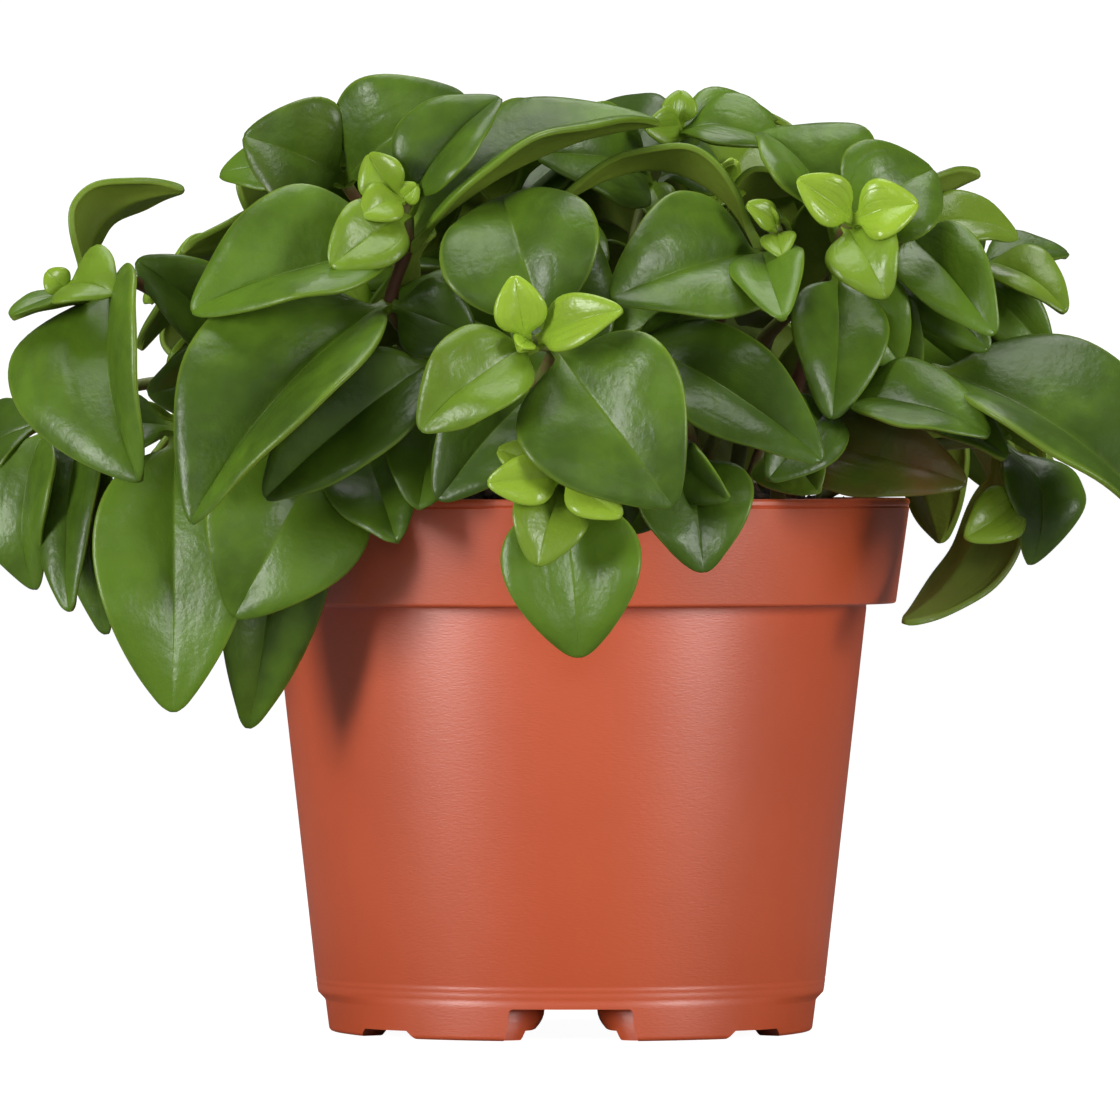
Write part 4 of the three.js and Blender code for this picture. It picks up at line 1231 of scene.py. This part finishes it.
class PotSettings(bpy.types.PropertyGroup):
    """Finish of the pot and the soil."""

    sides: IntProperty(name="Sides", description="Faces round the pot", default=144, min=24, max=360)
    pot_colour: colour_property("Pot", "Moulded plastic", (0.61, 0.093, 0.024))
    pot_deep: colour_property("Deep pot", "Plastic where it is a little darker", (0.57, 0.083, 0.021))
    soil_dark: colour_property("Dark soil", "Damp peat", (0.018, 0.011, 0.007))
    soil_light: colour_property("Pale soil", "Fibres in the peat", (0.085, 0.05, 0.03))
    crumbs: IntProperty(name="Crumbs", description="Loose crumbs on the soil", default=420, min=0, max=3000)
    crumb_size: length_property("Crumb size", "Of a middling crumb", 0.0013, 0.0003, 0.005)


class StageSettings(bpy.types.PropertyGroup):
    """Floor and light."""

    floor_colour: colour_property("Floor", "Matt table top", (0.22, 0.22, 0.22))
    glow: strength_property("Glow", "Light that the floor shows near the pot", 0.97)
    room: strength_property("Room", "Strength of the light all round", 0.07)
    wall: strength_property("Wall", "Brightness of the room behind", 1.1)
    key: power_property("Key", "Power of the left light", 20.0)
    fill: power_property("Fill", "Power of the right light", 17.0)
    top: power_property("Top", "Power of the light above", 15.0)
    front: power_property("Front", "Power of the low light in front", 2.0)
    back: power_property("Back", "Power of the light behind", 14.0)


class PeperomiaSettings(bpy.types.PropertyGroup):
    """Everything that the panel shows."""

    plant: PointerProperty(type=PlantSettings)
    pot: PointerProperty(type=PotSettings)
    stage: PointerProperty(type=StageSettings)


# ---- operators

SENSOR = 36.0  # mm
FRAME_WIDTH = 198.2  # what the photograph's width spans at the pot's middle, in mm
FRAME_MIDDLE = 83.2  # height at the middle of the frame there, in mm
FLOOR_HALF_WIDTH = 40  # m
SIGHT = 100  # how far the camera sees, in m
LIGHT_TARGET = Vector((0, 0, 0.09))
# Each soft light box: its place, its width and its height, in metres.
LIGHTS = {
    "key": ((-1.3, -1.09, 0.36), 0.36, 0.68),
    "fill": ((1.3, -1.09, 0.36), 0.4, 0.68),
    "top": ((-0.1, -0.35, 1.7), 1.1, 0.9),
    "front": ((0, -1.9, 0.36), 0.6, 0.28),
    "back": ((0.2, 0.85, 2.1), 1.0, 1.0),
}


def add_light(name, power):
    """A soft light box that faces the plant."""
    place, width, height = LIGHTS[name]
    light = bpy.data.lights.new(name, "AREA")
    light.energy = power
    light.shape = "RECTANGLE"
    light.size = width
    light.size_y = height
    lamp = bpy.data.objects.new(name, light)
    bpy.context.scene.collection.objects.link(lamp)
    lamp.location = place
    lamp.rotation_euler = (LIGHT_TARGET - lamp.location).to_track_quat("-Z", "Y").to_euler()


def add_camera():
    """A camera that sees what the photograph shows."""
    camera = bpy.data.objects.new("camera", bpy.data.cameras.new("camera"))
    bpy.context.scene.collection.objects.link(camera)
    camera.data.sensor_width = SENSOR
    camera.data.lens = SENSOR * VIEW_DISTANCE / FRAME_WIDTH
    camera.data.clip_end = SIGHT
    camera.location = Vector((VIEW_X, -VIEW_DISTANCE, VIEW_Z)) * MM
    aim = Vector((VIEW_X, 0, FRAME_MIDDLE)) * MM
    camera.rotation_euler = (aim - camera.location).to_track_quat("-Z", "Y").to_euler()
    bpy.context.scene.camera = camera


class PEPEROMIA_OT_add_pot(bpy.types.Operator):
    """Model the nursery pot with its rim, feet, drain tunnel and notches"""

    bl_idname = "peperomia.add_pot"
    bl_label = "Add Pot"

    def execute(self, context):
        settings = context.scene.peperomia.pot
        bm = pot_mesh(settings.sides)
        for face in bm.faces:
            face.smooth = True
        for edge in bm.edges:
            edge.smooth = edge.calc_face_angle(0.0) < SHARP_EDGE
        finish_piece("nursery_pot", bm, [pot_material(settings)], ["pot"])
        return {"FINISHED"}


class PEPEROMIA_OT_add_soil(bpy.types.Operator):
    """Fill the pot with crumbly soil"""

    bl_idname = "peperomia.add_soil"
    bl_label = "Add Soil"

    def execute(self, context):
        settings = context.scene.peperomia.pot
        bm = soil_mesh(settings.crumbs, settings.crumb_size / MM)
        finish_piece("crumbly_soil", bm, [soil_material(settings)], ["soil"])
        return {"FINISHED"}


class PEPEROMIA_OT_add_seen_stems(bpy.types.Operator):
    """Grow the leafy stems that the front shows"""

    bl_idname = "peperomia.add_seen_stems"
    bl_label = "Add Front Stems"

    def execute(self, context):
        settings = context.scene.peperomia.plant
        for name in SEEN_STEMS:
            leafy_stem(name, seen_plan(name), settings, has_bud=False)
        return {"FINISHED"}


class PEPEROMIA_OT_add_ruled_stems(bpy.types.Operator):
    """Grow the leafy stems of the back and the middle by rule"""

    bl_idname = "peperomia.add_ruled_stems"
    bl_label = "Add Back Stems"

    def execute(self, context):
        settings = context.scene.peperomia.plant
        draw = seeded_draw(SEED)
        for name in RULED_STEMS:
            leafy_stem(name, ruled_plan(name, draw), settings, has_bud=True)
        return {"FINISHED"}


class PEPEROMIA_OT_add_stage(bpy.types.Operator):
    """Set up a pale floor, soft studio light and the camera"""

    bl_idname = "peperomia.add_stage"
    bl_label = "Add Stage"

    def execute(self, context):
        settings = context.scene.peperomia.stage
        bm = bmesh.new()
        bmesh.ops.create_grid(bm, x_segments=8, y_segments=8, size=FLOOR_HALF_WIDTH)
        floor = new_object("floor", bm)
        floor.data.materials.append(floor_material(settings))
        floor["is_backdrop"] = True
        context.scene.world = studio_world(settings)
        context.scene.view_settings.view_transform = "Standard"
        for name in LIGHTS:
            add_light(name, getattr(settings, name))
        add_camera()
        return {"FINISHED"}


class PEPEROMIA_PT_panel(bpy.types.Panel):
    """The peperomia's settings and steps"""

    bl_label = "Potted Peperomia"
    bl_idname = "PEPEROMIA_PT_panel"
    bl_space_type = "VIEW_3D"
    bl_region_type = "UI"
    bl_category = "Peperomia"

    def draw(self, context):
        settings = context.scene.peperomia
        for group in (settings.plant, settings.pot, settings.stage):
            box = self.layout.box()
            for key in group.__annotations__:
                box.prop(group, key)
        for operator in OPERATORS:
            self.layout.operator(operator.bl_idname)


OPERATORS = (
    PEPEROMIA_OT_add_pot,
    PEPEROMIA_OT_add_soil,
    PEPEROMIA_OT_add_seen_stems,
    PEPEROMIA_OT_add_ruled_stems,
    PEPEROMIA_OT_add_stage,
)
SETTINGS = (PlantSettings, PotSettings, StageSettings, PeperomiaSettings)
CLASSES = (*SETTINGS, *OPERATORS, PEPEROMIA_PT_panel)


def register():
    for cls in CLASSES:
        bpy.utils.register_class(cls)
    bpy.types.Scene.peperomia = PointerProperty(type=PeperomiaSettings)


def unregister():
    del bpy.types.Scene.peperomia
    for cls in reversed(CLASSES):
        bpy.utils.unregister_class(cls)


def main():
    register()
    bpy.ops.peperomia.add_stage()
    bpy.ops.peperomia.add_pot()
    bpy.ops.peperomia.add_soil()
    bpy.ops.peperomia.add_seen_stems()
    bpy.ops.peperomia.add_ruled_stems()
    sizes = {"cad": CAD_BOX, "visual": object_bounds()}
    {key: [list(corner) for corner in box] for key, box in sizes.items()}


if __name__ == "__main__":
    main()
